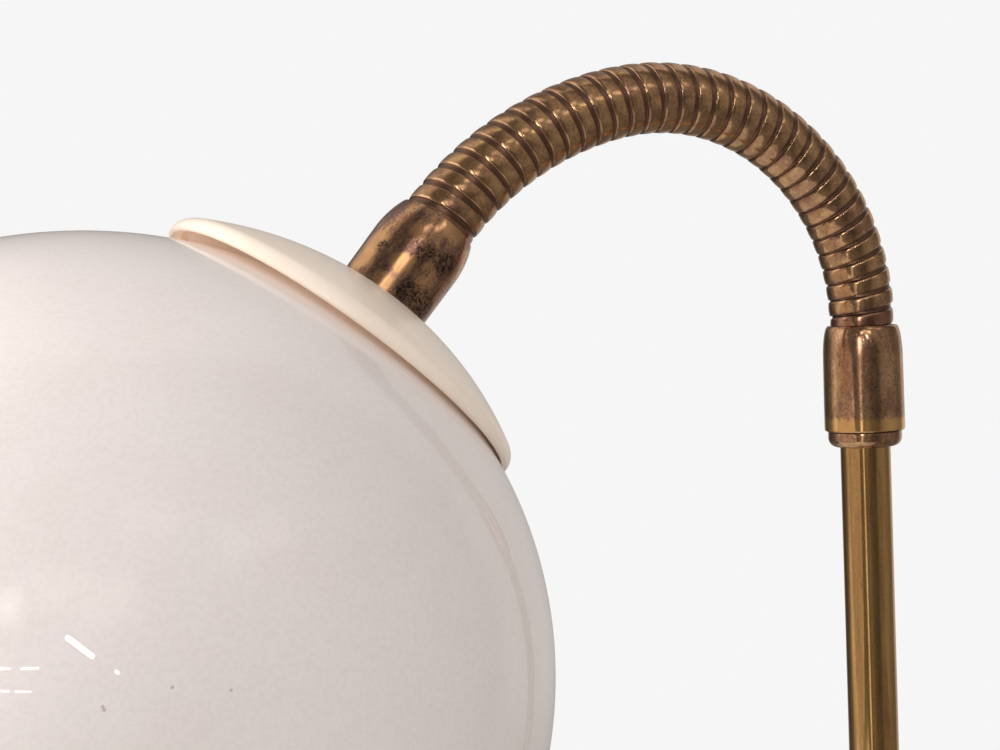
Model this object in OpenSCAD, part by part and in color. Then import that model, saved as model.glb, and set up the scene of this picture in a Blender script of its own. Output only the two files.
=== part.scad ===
// Clip-on task lamp: a spring clip carries a brass stem, a strip-wound gooseneck and a globe shade.
// The origin is the centre of the upper clip pad's gripping face. The stem stands along +Z and
// the gooseneck leans over towards -X, above the table that the clip holds on to.

/* [Clip] */
// Length of each jaw from the pad's centre to the pivot
jaw_reach = 62; // [55:1:80]
// Width of the upper jaw over its turned-up edges
jaw_w = 40; // [38:1:50]
// Thickness of the jaws' sheet brass
sheet_t = 1.6; // [1.2:0.1:2]
// Height of the stiffening lips along the jaws
lip_h = 4; // [3:0.5:6]
// Gap between the pads when the clip is closed
jaw_gap = 5; // [4.6:0.2:7]
// Thickness of each rubber pad
pad_t = 3; // [2.6:0.2:4]
// Length of each pad along the jaw
pad_l = 28; // [22:1:30]
// Length of each handle from its bend
handle_l = 48; // [42:1:60]
// Angle of each handle to its jaw
handle_angle = 24; // [22:1:30]
// Width of each handle at its end
handle_end_w = 24; // [20:1:30]
// Outer thickness of the handle sleeves
sleeve_t = 6; // [5:0.5:8]
// Diameter of the pivot pin
pivot_d = 5; // [4:0.5:5.5]
// Wire diameter of the clip spring
spring_wire_d = 1.6; // [1.2:0.1:1.8]
// Number of coils in the clip spring
spring_coils = 6; // [4:1:7]

/* [Foot housing] */
// Largest diameter of the foot housing
housing_d = 35; // [34:0.5:36]
// Height of the housing's bell below its collar
bell_h = 28; // [26:1:32]
// Height of the collar that guides the stem
collar_h = 14; // [12:1:18]
// Wall of the foot housing
housing_wall = 2; // [1.6:0.1:2.4]
// Bore of the cord inlet bush
inlet_bore_d = 6.4; // [5:0.2:7]
// Diameter of the push button
button_d = 8; // [7:0.5:9]
// Travel of the push button
button_travel = 2; // [1.5:0.5:2.5]

/* [Stem] */
// Distance from the pad's centre to the stem's axis
stem_x = 32; // [31:1:36]
// Diameter of the stem tube
stem_d = 12.7; // [12:0.1:14]
// Wall of the stem tube
stem_wall = 1; // [0.8:0.1:1.5]
// Height of the lower end of the gooseneck above the table
neck_start_z = 290; // [270:5:360]

/* [Ferrules] */
// Largest diameter of the lower ferrule
lower_ferrule_d = 20.3; // [19.4:0.1:22]
// Length of the lower ferrule
lower_ferrule_l = 27.5; // [25:0.5:34]
// Diameter of the ring below the lower ferrule
ring_d = 18.6; // [17:0.1:19.2]
// Height of the ring below the lower ferrule
ring_h = 4; // [3:0.5:5]
// Largest diameter of the upper ferrule
upper_ferrule_d = 20.6; // [19.6:0.1:22]
// Length of the upper ferrule
upper_ferrule_l = 21; // [20:0.5:28]

/* [Gooseneck] */
// Outside diameter of the gooseneck
neck_d = 16.4; // [15.6:0.1:17]
// Length of neck that one turn of the strip takes up
turn_pitch = 4.59; // [4.4:0.01:5]
// Width of the raised band of each turn
band_w = 3.6; // [3.2:0.1:3.7]
// Thickness of the brass strip
strip_t = 0.5; // [0.4:0.05:0.55]
// Clearance between a turn's tucked edge and the next band
strip_gap = 0.5; // [0.45:0.05:0.6]
// Reach of the tucked edge past its own band
tuck_l = 2.5; // [2.2:0.1:2.6]
// Bend of each turn in the lower part of the neck, in degrees
lower_turn_bend = 4.85; // [3:0.05:5]
// Bend of each turn in the upper part of the neck, in degrees
upper_turn_bend = 3.2; // [2:0.05:4]
// Turn around which the bend eases
bend_ease_turn = 21; // [15:0.5:25]

/* [Shade] */
// Diameter of the globe shade
globe_d = 180; // [160:1:200]
// Wall of the spun globe
globe_wall = 1; // [0.8:0.1:1.5]
// Half angle of the globe's open mouth, seen from its centre
mouth_half_angle = 48; // [42:1:52]
// Thickness of the rolled rim round the mouth
mouth_bead_d = 3.8; // [3:0.2:5]
// Diameter of the flat seat at the top of the globe
globe_seat_d = 24; // [23:0.5:28]
// Outer diameter of the cap
cap_d = 85; // [80:0.2:90]
// Radius of the turn from the cap's dome into its rim
cap_shoulder_r = 3; // [2:0.5:3.5]
// Height of the cap's rim
cap_edge_h = 2.8; // [2.8:0.1:4]
// Thickness of the cap's folded rim
cap_rim_t = 2.4; // [1.8:0.1:3.4]
// Gap between the cap's rim and the globe
cap_float = 1.1; // [0.8:0.1:2]
// Height of the cap over its rim's lower edge
cap_h = 15.2; // [13.5:0.1:17]
// Wall of the spun cap
cap_wall = 1; // [0.8:0.1:1.5]

/* [Lamp holder and bulb] */
// Diameter of the threaded nipple
nipple_d = 10; // [9:0.5:12]
// Bore of the threaded nipple
nipple_bore_d = 7; // [6:0.5:8]
// Diameter of the lamp holder
holder_d = 38; // [36:0.5:42]
// Height of the lamp holder's domed top
holder_dome_h = 15; // [12:1:18]
// Length of the lamp holder's skirt
holder_skirt_l = 36; // [30:1:40]
// Wall of the lamp holder
holder_wall = 2; // [1.6:0.2:2.4]
// Diameter of the bulb's screw base
bulb_base_d = 26.2; // [26:0.1:27]
// Length of the bulb's screw base
bulb_base_l = 24; // [22:1:26]
// Diameter of the bulb
bulb_d = 60; // [50:1:64]
// Length of the bulb from its contact to the tip of the glass
bulb_l = 104; // [98:1:108]

/* [Hidden] */
$fn = 64;
LINK_COUNT = 16;
TURNS_PER_LINK = 2;

BRASS = [0.66, 0.47, 0.22];
AGED_BRASS = [0.55, 0.38, 0.22];
CREAM = [0.93, 0.90, 0.85];
LACQUER_WHITE = [0.86, 0.82, 0.80];
RUBBER = [0.12, 0.11, 0.10];
STEEL = [0.62, 0.62, 0.62];
CERAMIC = [0.95, 0.94, 0.91];
OPAL = [0.98, 0.97, 0.93];

running_fit = 0.05;
seat_gap = 0.3;
part_gap = 0.2;
screw_gap = 0.1;

// Clip
pivot_r = pivot_d / 2;
pivot_x = jaw_reach;
pivot_z = -jaw_gap / 2;
plate_z = pad_t;
plate_top_z = plate_z + sheet_t;
pivot_to_plate = plate_z - pivot_z;
ear_r = pivot_to_plate - seat_gap;
ear_spread = 12;
jaw_tip_r = 9;
jaw_tip_x = -pad_l / 2 - 3;
handle_bend_x = jaw_reach + 8;
sleeve_start = 14;
upper_ear_y = jaw_w / 2 - sheet_t;
lower_ear_y = upper_ear_y - part_gap - sheet_t;
lower_jaw_w = 2 * (lower_ear_y + sheet_t);
pad_w = jaw_w - 2 * sheet_t - 4;
pad_corner_r = 4;
pad_nub_d = 5;
pad_nub_head_d = 7;
pad_nub_head_h = 1.2;
pad_nub_y = pad_w / 4;
spring_wire_r = spring_wire_d / 2;
spring_wind_r = pivot_r + seat_gap + spring_wire_r;
spring_step = spring_wire_d + 0.5;
spring_rise_x = 6.5;
spring_meet_x = 15;
spring_end_x = handle_bend_x - pivot_x + (sleeve_start - 1.5) * cos(handle_angle);
pin_head_d = pivot_d + 3;
pin_head_h = 1.5;

// Foot housing
stem_r = stem_d / 2;
housing_r = housing_d / 2;
collar_wall = 4;
collar_r = stem_r + running_fit + collar_wall;
housing_z = plate_top_z;
collar_z = housing_z + bell_h;
housing_top_z = collar_z + collar_h;
base_band_h = 4;
inlet_z = housing_z + lip_h + 7.5;
bush_wall = 1.6;
bush_r = inlet_bore_d / 2 + bush_wall;
bush_flange_h = 2;
bush_inner_y = housing_r - 6;
bush_outer_y = housing_r + 8;
button_r = button_d / 2;
button_z = inlet_z;
button_out = 4;
switch_w = 12;
switch_h = 9;
switch_l = 9;
switch_front_y = -(housing_r - housing_wall - 3);
switch_neck_r = button_r + part_gap + 1.2;
switch_bezel_r = switch_neck_r + 1.4;
switch_bezel_h = 1.6;
screw_d = 3;
screw_head_d = 5.5;
screw_head_h = 2;
post_r = 3.2;
post_x = housing_r - housing_wall - post_r + 1.2;
post_h = 10;
wall_hole_in = 8;
wall_hole_l = wall_hole_in + 2;
lock_d = 4;
lock_z = collar_z + collar_h / 2;
lock_head_d = 12;
lock_head_h = 6;
lock_boss_d = 9;
lock_boss_x = collar_r + 3;

// Stem
stem_collar_h = 5;
stem_collar_wall = 3;
washer_t = 1;
washer_z = collar_z - housing_wall - washer_t;
washer_r = collar_r - housing_wall - screw_gap;
stem_collar_top_z = washer_z - running_fit;
stem_bottom_z = stem_collar_top_z - stem_collar_h - 1;
neck_socket_l = 2 * turn_pitch + 0.4;
ferrule_web = 2;
lower_ferrule_drop = 1.1;
stem_top_z = neck_start_z - neck_socket_l - ferrule_web;
ring_z = neck_start_z - lower_ferrule_l - ring_h;
cable_hole_d = 8;

// Gooseneck
neck_r = neck_d / 2;
band_inner_r = neck_r - strip_t;
tuck_r = band_inner_r - strip_gap;
tuck_inner_r = tuck_r - strip_t;
neck_fit = 0.25;
neck_socket_r = neck_r + neck_fit;
neck_turns = LINK_COUNT * TURNS_PER_LINK + 1;
hidden_turns = 1.5;
joint_turn = 0.5;
strip_end_angle = 45;
strip_end_gap = 2.5;
turn_steps = 20;
bend_ease_span = 3;
neck_step_l = turn_pitch / turn_steps;
spine_steps = (neck_turns + 2 * hidden_turns) * turn_steps;

// Shade, along the head's own axis from the end of the gooseneck
globe_r = globe_d / 2;
cap_r = cap_d / 2;
cap_edge_r = 0.8;
mouth_bead_r = mouth_bead_d / 2;
cap_top_h = upper_ferrule_l;
cap_rim_h = cap_top_h + cap_h;
cap_edge_at_r = cap_r - cap_edge_r;
cap_edge_at_h = cap_rim_h - cap_edge_r;
cap_edge_reach = globe_r + cap_float + cap_edge_r;
globe_h = cap_edge_at_h + sqrt(cap_edge_reach * cap_edge_reach - cap_edge_at_r * cap_edge_at_r);
globe_seat_r = globe_seat_d / 2;
globe_seat_h = globe_h - sqrt(globe_r * globe_r - globe_seat_r * globe_seat_r);
globe_inner_h = globe_seat_h + globe_wall;
mouth_h = globe_h + globe_r * cos(mouth_half_angle);
cap_seat_r = upper_ferrule_d / 2;
nipple_r = nipple_d / 2;
nipple_hole_r = nipple_r + screw_gap;
spacer_d = 20;
shade_washer_r = globe_seat_r - globe_wall / 2 - 0.5;
shade_washer_t = 1.6;
nut_flats = 14;
nut_t = 5;
nut_h = globe_inner_h + shade_washer_t;
holder_h = nut_h + nut_t;
holder_r = holder_d / 2;
holder_floor_t = 3;
nipple_start_h = neck_socket_l + 0.6;
nipple_end_h = holder_h + holder_floor_t + 2;
skirt_h = holder_h + holder_dome_h;
insert_h = skirt_h + 1;
insert_t = 8;
insert_r = holder_r - holder_wall - part_gap;
shell_wall = 0.5;
shell_r = bulb_base_d / 2 + part_gap + shell_wall;
shell_h = insert_h + insert_t;
shell_l = 22;
contact_t = 0.6;
contact_w = 6;
contact_rise = 2.4;
bulb_tip_h = shell_h + contact_rise;
bulb_contact_r = 4.5;
bulb_contact_t = 1.6;
bulb_base_h = bulb_tip_h + bulb_contact_t;
bulb_base_r = bulb_base_d / 2;
glass_h = bulb_base_h + bulb_base_l;
glass_wall = 0.9;
bulb_r = bulb_d / 2;
bulb_centre_h = bulb_tip_h + bulb_l - bulb_r;

// Returns the node name of one link, with two digits.
function link_name(i) = str("neck_link_", i < 10 ? "0" : "", i);

// Returns points on an arc about [x, y], from angle a to angle b.
function arc(x, y, r, a, b, n = 8) =
    [for (i = [0 : n]) [x + r * cos(a + (b - a) * i / n), y + r * sin(a + (b - a) * i / n)]];

// Returns the height of the centre, on the axis, of the circle through [r1, h1] and [r2, h2].
function axis_centre(r1, h1, r2, h2) = (r2 * r2 + h2 * h2 - r1 * r1 - h1 * h1) / (2 * (h2 - h1));

// Returns the bend, in degrees for a turn, at a place counted in turns from the lower ferrule.
function bend_at(turn) =
    turn < 0 || turn > neck_turns ? 0 :
    lower_turn_bend + (upper_turn_bend - lower_turn_bend)
    * max(0, min(1, (turn - bend_ease_turn) / bend_ease_span + 0.5));

// Returns half the bend of one step along the spine.
function half_bend(i) = bend_at((i + 0.5) / turn_steps - hidden_turns) / turn_steps / 2;

// The neck's centre line: [x, z, lean] at each step, from the hidden turns below to those above.
spine = [
    for (
        i = 0, x = 0, z = -hidden_turns * turn_pitch, lean = 0;
        i <= spine_steps;
        x = x - neck_step_l * sin(lean + half_bend(i)),
        z = z + neck_step_l * cos(lean + half_bend(i)),
        lean = lean + 2 * half_bend(i),
        i = i + 1
    ) [x, z, lean]
];

// Returns [x, z, lean] of the centre line at a place counted in turns.
function spine_at(turn) =
    let (step = (turn + hidden_turns) * turn_steps)
    let (i = min(floor(step), spine_steps - 1))
    spine[i] + (spine[i + 1] - spine[i]) * (step - i);

neck_end = spine_at(neck_turns);
head_lean = neck_end[2];

// Section of the strip: the raised band, its web and the edge tucked under the next band.
strip_section = [
    [band_inner_r, -band_w / 2],
    [neck_r, -band_w / 2],
    [neck_r, band_w / 2],
    [tuck_r, band_w / 2],
    [tuck_r, band_w / 2 + tuck_l],
    [tuck_inner_r, band_w / 2 + tuck_l],
    [tuck_inner_r, band_w / 2 - strip_t],
    [band_inner_r, band_w / 2 - strip_t]
];

// Returns the strip's section placed on the neck at a place counted in turns.
function strip_ring(turn) =
    let (at = spine_at(turn))
    let (around = strip_end_angle + 360 * (turn - joint_turn))
    [for (p = strip_section)
        let (side = p[0] * cos(around))
        [
            stem_x + at[0] + side * cos(at[2]) - p[1] * sin(at[2]),
            p[0] * sin(around),
            neck_start_z + at[1] + side * sin(at[2]) + p[1] * cos(at[2])
        ]
    ];

// Least gap between one band of the gooseneck and the next.
neck_gap = min([
    for (step = [0 : neck_turns * turn_steps])
        let (turn = step / turn_steps)
        norm(strip_ring(turn + 1)[1] - strip_ring(turn)[2])
]);
echo(neck_gap = neck_gap);

// Skins a row of equal rings and closes both ends.
module skin(rings) {
    m = len(rings[0]);
    n = len(rings);
    sides = [
        for (k = [0 : n - 2])
            for (j = [0 : m - 1])
                let (a = k * m + j, b = k * m + (j + 1) % m)
                each [[a, a + m, b], [b, a + m, b + m]]
    ];
    start = [for (j = [0 : m - 1]) j];
    finish = [for (j = [m - 1 : -1 : 0]) (n - 1) * m + j];
    polyhedron([for (ring = rings) each ring], concat([start], sides, [finish]));
}

// Places its children on the head: +Z runs from the gooseneck's end towards the globe's mouth.
module on_head() {
    translate([stem_x + neck_end[0], 0, neck_start_z + neck_end[1]])
        rotate([0, -head_lean, 0])
            children();
}

// Mirrors its children about the level of the clip's pivot.
module below_pivot() {
    translate([0, 0, 2 * pivot_z])
        mirror([0, 0, 1])
            children();
}

// One jaw with its pivot ears and handle, as the upper one lies; ear_y is the ears' inner face.
module jaw(width, ear_y) {
    difference() {
        union() {
            translate([jaw_tip_x + jaw_tip_r, -width / 2, plate_z])
                cube([handle_bend_x - jaw_tip_x - jaw_tip_r, width, sheet_t]);
            translate([jaw_tip_x, -width / 2 + jaw_tip_r, plate_z])
                cube([jaw_tip_r + 1, width - 2 * jaw_tip_r, sheet_t]);
            for (side = [-1, 1]) {
                translate([jaw_tip_x + jaw_tip_r, side * (width / 2 - jaw_tip_r), plate_z])
                    cylinder(r = jaw_tip_r, h = sheet_t);
                jaw_lip(side, width);
                jaw_ear(side, ear_y);
            }
            translate([handle_bend_x, 0, plate_z])
                rotate([0, -handle_angle, 0])
                    handle(width);
        }
        for (side = [-1, 1])
            translate([0, side * pad_nub_y, plate_z - 1])
                cylinder(d = pad_nub_d, h = sheet_t + 2);
    }
}

// Turned edge that stiffens one side of a jaw, sloped down at both ends.
module jaw_lip(side, width) {
    start_x = jaw_tip_x + jaw_tip_r;
    translate([0, side * (width - sheet_t) / 2 + sheet_t / 2, 0])
        rotate([90, 0, 0])
            linear_extrude(sheet_t)
                polygon([
                    [start_x, plate_top_z - 0.4],
                    [start_x + lip_h, plate_top_z + lip_h],
                    [handle_bend_x - 2 * lip_h, plate_top_z + lip_h],
                    [handle_bend_x - 1, plate_top_z - 0.4]
                ]);
}

// Ear that reaches from a jaw to the pivot pin.
module jaw_ear(side, ear_y) {
    translate([pivot_x, side * (ear_y + sheet_t / 2) + sheet_t / 2, pivot_z])
        rotate([90, 0, 0])
            linear_extrude(sheet_t) {
                circle(r = ear_r);
                polygon([
                    [-ear_spread, pivot_to_plate + 0.4],
                    [-ear_r, 0],
                    [ear_r, 0],
                    [ear_spread - 3, pivot_to_plate + 0.4]
                ]);
            }
}

// Tapered handle with a rounded end, lying flat from its bend.
module handle(width) {
    end_r = handle_end_w / 2;
    linear_extrude(sheet_t) {
        polygon([
            [0, -width / 2],
            [sleeve_start, -end_r],
            [handle_l - end_r, -end_r],
            [handle_l - end_r, end_r],
            [sleeve_start, end_r],
            [0, width / 2]
        ]);
        translate([handle_l - end_r, 0])
            circle(r = end_r);
    }
}

// Bore for the pivot pin through a jaw's ears.
module pivot_bore(fit) {
    translate([pivot_x, jaw_w, pivot_z])
        rotate([90, 0, 0])
            cylinder(r = pivot_r + fit, h = 2 * jaw_w);
}

// Pressed brass upper jaw, with holes for the foot housing's screws.
module jaw_upper() {
    color(BRASS)
        difference() {
            jaw(jaw_w, upper_ear_y);
            pivot_bore(0);
            at_housing_screws()
                translate([0, 0, plate_z - 1])
                    cylinder(r = screw_d / 2 + screw_gap, h = sheet_t + 2);
        }
}

// Pressed brass lower jaw, whose ears turn on the pin inside the upper ones.
module jaw_lower() {
    color(BRASS)
        difference() {
            below_pivot()
                jaw(lower_jaw_w, lower_ear_y);
            pivot_bore(running_fit);
        }
}

// Rounded rectangle, centred, as a slab.
module rounded_slab(l, w, r, t) {
    translate([-l / 2 + r, -w / 2, 0])
        cube([l - 2 * r, w, t]);
    translate([-l / 2, -w / 2 + r, 0])
        cube([l, w - 2 * r, t]);
    for (sx = [-1, 1], sy = [-1, 1])
        translate([sx * (l / 2 - r), sy * (w / 2 - r), 0])
            cylinder(r = r, h = t);
}

// Rubber pad held by two moulded nubs that are pushed through the jaw.
module pad() {
    color(RUBBER) {
        rounded_slab(pad_l, pad_w, pad_corner_r, pad_t);
        for (side = [-1, 1])
            translate([0, side * pad_nub_y, pad_t]) {
                cylinder(d = pad_nub_d, h = sheet_t);
                translate([0, 0, sheet_t])
                    cylinder(d1 = pad_nub_head_d, d2 = pad_nub_d, h = pad_nub_head_h);
            }
    }
}

module pad_upper() {
    pad();
}

module pad_lower() {
    below_pivot()
        pad();
}

// Plastic sleeve over the end of a handle.
module sleeve() {
    outer_y = handle_end_w / 2 + 2;
    round_r = sleeve_t / 2;
    length = handle_l + 2 - round_r - sleeve_start;
    color(RUBBER)
        translate([handle_bend_x, 0, plate_z])
            rotate([0, -handle_angle, 0])
                difference() {
                    translate([sleeve_start, 0, sheet_t / 2]) {
                        rotate([90, 0, 90])
                            linear_extrude(length) {
                                square([2 * (outer_y - round_r), sleeve_t], center = true);
                                for (side = [-1, 1])
                                    translate([side * (outer_y - round_r), 0])
                                        circle(r = round_r);
                            }
                        translate([length, outer_y - round_r, 0])
                            rotate([90, 0, 0])
                                cylinder(r = round_r, h = 2 * (outer_y - round_r));
                        for (side = [-1, 1])
                            translate([length, side * (outer_y - round_r), 0])
                                sphere(r = round_r);
                    }
                    handle(jaw_w);
                }
}

module sleeve_upper() {
    sleeve();
}

module sleeve_lower() {
    below_pivot()
        sleeve();
}

// Riveted pin through the ears of both jaws.
module pivot_pin() {
    color(STEEL)
        translate([pivot_x, jaw_w / 2 + pin_head_h, pivot_z])
            rotate([90, 0, 0]) {
                cylinder(r = pivot_r, h = jaw_w + 2 * pin_head_h);
                cylinder(d1 = pin_head_d - 2, d2 = pin_head_d, h = pin_head_h);
                translate([0, 0, jaw_w + pin_head_h])
                    cylinder(d1 = pin_head_d, d2 = pin_head_d - 2, h = pin_head_h);
            }
}

// Returns the height, over the pivot, of a spring leg that lies under a handle.
function leg_z(x) =
    pivot_to_plate + (x - handle_bend_x + pivot_x) * tan(handle_angle)
    - (spring_wire_r + running_fit) / cos(handle_angle);

// The spring's centre line about the pivot: a leg, the coils and the other leg.
spring_turns = spring_coils + 0.5;
spring_w = spring_turns * spring_step;
spring_coil_steps = spring_turns * 8;
spring_path = concat(
    [
        [spring_end_x, -spring_w / 2, leg_z(spring_end_x)],
        [spring_meet_x, -spring_w / 2, leg_z(spring_meet_x)],
        [spring_rise_x, -spring_w / 2, spring_wind_r]
    ],
    [for (i = [0 : spring_coil_steps])
        let (a = 90 + 360 * i / 8)
        [
            spring_wind_r * cos(a),
            -spring_w / 2 + spring_w * i / spring_coil_steps,
            spring_wind_r * sin(a)
        ]
    ],
    [
        [spring_rise_x, spring_w / 2, -spring_wind_r],
        [spring_meet_x, spring_w / 2, -leg_z(spring_meet_x)],
        [spring_end_x, spring_w / 2, -leg_z(spring_end_x)]
    ]
);

// Least gap between one coil of the clip spring and the next.
spring_gap = min([
    for (i = [3 : 3 + spring_coil_steps - 8])
        norm(spring_path[i + 8] - spring_path[i]) - spring_wire_d
]);
echo(spring_gap = spring_gap);

// Returns a vector at length one.
function unit(v) = v / norm(v);

// Returns a ring of six points across the spring's wire at one point of its path.
function wire_ring(path, i) =
    let (along = unit(path[min(i + 1, len(path) - 1)] - path[max(i - 1, 0)]))
    let (side = unit(cross([0, 1, 0], along)))
    let (up = cross(along, side))
    [for (a = [0 : 60 : 300]) path[i] + spring_wire_r * (side * cos(a) + up * sin(a))];

// Torsion spring that presses the handles apart.
module clip_spring() {
    color(STEEL)
        translate([pivot_x, 0, pivot_z])
            skin([for (i = [0 : len(spring_path) - 1]) wire_ring(spring_path, i)]);
}

// Repeats its children at the two screws that hold the foot housing.
module at_housing_screws() {
    for (side = [-1, 1])
        translate([stem_x + side * post_x, 0, 0])
            children();
}

// Bell profile of the foot housing, inset by the given wall.
module bell(inset) {
    top_r = collar_r - inset;
    base_r = housing_r - inset;
    rise = bell_h - base_band_h - inset;
    polygon(concat(
        [[0, 0], [base_r, 0], [base_r, base_band_h]],
        [for (i = [1 : 12])
            let (a = 90 * i / 12)
            [top_r + (base_r - top_r) * cos(a), base_band_h + rise * sin(a)]
        ],
        [[0, base_band_h + rise]]
    ));
}

// Turned brass housing at the foot of the stem, with a collar for the stem and two screw posts.
module foot_housing() {
    color(BRASS)
        difference() {
            translate([stem_x, 0, housing_z]) {
                rotate_extrude()
                    difference() {
                        union() {
                            bell(0);
                            translate([0, bell_h - 1])
                                square([collar_r, collar_h]);
                            translate([0, bell_h])
                                square([collar_r - 1, collar_h]);
                            translate([collar_r - 1, bell_h + collar_h - 1])
                                circle(r = 1);
                        }
                        bell(housing_wall);
                        square([stem_r + running_fit, bell_h + collar_h + 1]);
                    }
                for (side = [-1, 1])
                    translate([side * post_x, 0, 0])
                        cylinder(r = post_r, h = post_h);
                translate([0, 0, lock_z - housing_z])
                    rotate([0, 90, 0])
                        difference() {
                            cylinder(d = lock_boss_d, h = lock_boss_x);
                            rotate([0, -90, 0])
                                cylinder(r = stem_r + running_fit, h = 2 * lock_boss_d, center = true);
                        }
            }
            at_housing_screws()
                translate([0, 0, housing_z - 1])
                    cylinder(r = screw_d / 2, h = post_h);
            translate([stem_x, 0, lock_z])
                rotate([0, 90, 0])
                    cylinder(r = lock_d / 2 + running_fit, h = lock_boss_x + 1);
            translate([stem_x, housing_r - wall_hole_in, inlet_z])
                rotate([-90, 0, 0])
                    cylinder(r = bush_r + screw_gap, h = wall_hole_l);
            translate([stem_x, -housing_r + wall_hole_in, button_z])
                rotate([90, 0, 0])
                    cylinder(r = switch_neck_r + screw_gap, h = wall_hole_l);
        }
}

// Two pan head screws that hold the foot housing from under the jaw.
module housing_screws() {
    color(STEEL)
        at_housing_screws()
            translate([0, 0, plate_z]) {
                cylinder(d = screw_d, h = sheet_t + post_h - 2);
                translate([0, 0, -screw_head_h])
                    difference() {
                        cylinder(d1 = screw_head_d - 1.5, d2 = screw_head_d, h = screw_head_h);
                        translate([0, 0, 0.5])
                            cube([screw_head_d, 0.8, 1.2], center = true);
                    }
            }
}

// Moulded bush in the housing's back, where a cord comes in.
module cord_bush() {
    color(RUBBER)
        translate([stem_x, 0, inlet_z])
            rotate([-90, 0, 0])
                rotate_extrude()
                    polygon(concat(
                        [
                            [inlet_bore_d / 2, bush_inner_y],
                            [bush_r, bush_inner_y],
                            [bush_r, housing_r + seat_gap],
                            [bush_r + 1.6, housing_r + seat_gap]
                        ],
                        arc(bush_r + 0.6, housing_r + seat_gap + bush_flange_h - 1, 1, 0, 90, 4),
                        [
                            [bush_r, housing_r + seat_gap + bush_flange_h],
                            [inlet_bore_d / 2 + 1, bush_outer_y],
                            [inlet_bore_d / 2, bush_outer_y]
                        ]
                    ));
}

// Push switch inside the foot housing, held by a neck with a bezel outside the wall.
module switch_body() {
    color(RUBBER)
        translate([stem_x, 0, button_z])
            rotate([90, 0, 0])
                difference() {
                    union() {
                        translate([-switch_w / 2, -switch_h / 2, -switch_front_y - switch_l])
                            cube([switch_w, switch_h, switch_l]);
                        cylinder(r = switch_neck_r, h = housing_r + seat_gap + switch_bezel_h);
                        translate([0, 0, housing_r + seat_gap])
                            cylinder(r1 = switch_bezel_r, r2 = switch_bezel_r - 0.8, h = switch_bezel_h);
                    }
                    translate([0, 0, -switch_front_y - 1 - button_travel - seat_gap])
                        cylinder(r = button_r - 1 + part_gap, h = housing_r);
                    translate([0, 0, -switch_front_y])
                        cylinder(r = button_r + part_gap, h = housing_r);
                    translate([0, 0, -1])
                        cylinder(r = switch_w, h = 1 - switch_front_y - switch_l);
                }
}

// Push button with a domed cap and a narrower plunger.
module switch_button() {
    dome_h = 1.5;
    color(CREAM)
        translate([stem_x, 0, button_z])
            rotate([90, 0, 0])
                rotate_extrude()
                    polygon(concat(
                        [
                            [0, -switch_front_y - 1],
                            [button_r - 1, -switch_front_y - 1],
                            [button_r - 1, -switch_front_y + button_travel + seat_gap],
                            [button_r, -switch_front_y + button_travel + seat_gap]
                        ],
                        [for (i = [0 : 6])
                            let (a = 90 * i / 6)
                            [button_r * cos(a), housing_r + button_out - dome_h * (1 - sin(a))]
                        ]
                    ));
}

// Screw with a milled head that locks the stem in the collar.
module lock_screw() {
    color(BRASS)
        translate([stem_x, 0, lock_z])
            rotate([0, 90, 0]) {
                translate([0, 0, stem_r + seat_gap])
                    cylinder(d = lock_d, h = lock_boss_x + 1 - stem_r);
                translate([0, 0, lock_boss_x + seat_gap])
                    difference() {
                        cylinder(d = lock_head_d, h = lock_head_h);
                        for (a = [0 : 20 : 340])
                            rotate([0, 0, a])
                                translate([lock_head_d / 2 + 0.3, 0, 1])
                                    cylinder(r = 0.8, h = lock_head_h, $fn = 16);
                    }
            }
}

// Straight brass tube of the stem.
module stem_tube() {
    color(BRASS)
        translate([stem_x, 0, stem_bottom_z])
            difference() {
                cylinder(r = stem_r, h = stem_top_z - stem_bottom_z);
                translate([0, 0, -1])
                    cylinder(r = stem_r - stem_wall, h = stem_top_z - stem_bottom_z + 2);
            }
}

// Collar pinned to the stem's lower end, which keeps it in the housing.
module stem_collar() {
    color(STEEL)
        translate([stem_x, 0, stem_collar_top_z - stem_collar_h])
            difference() {
                cylinder(r = stem_r + stem_collar_wall, h = stem_collar_h);
                translate([0, 0, -1])
                    cylinder(r = stem_r, h = stem_collar_h + 2);
            }
}

// Fibre washer between the housing's collar and the stem's collar.
module friction_washer() {
    color([0.45, 0.20, 0.12])
        translate([stem_x, 0, washer_z])
            difference() {
                cylinder(r = washer_r, h = washer_t);
                translate([0, 0, -1])
                    cylinder(r = stem_r + running_fit, h = washer_t + 2);
            }
}

// Low ring under the lower ferrule, rounded underneath.
module ferrule_ring() {
    round_r = 2.2;
    color(AGED_BRASS)
        translate([stem_x, 0, ring_z])
            rotate_extrude()
                polygon(concat(
                    [[stem_r, 0]],
                    arc(ring_d / 2 - round_r, round_r, round_r, -90, 0),
                    arc(ring_d / 2 - 0.4, ring_h - 0.4, 0.4, 0, 90, 3),
                    [[stem_r, ring_h]]
                ));
}

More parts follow.
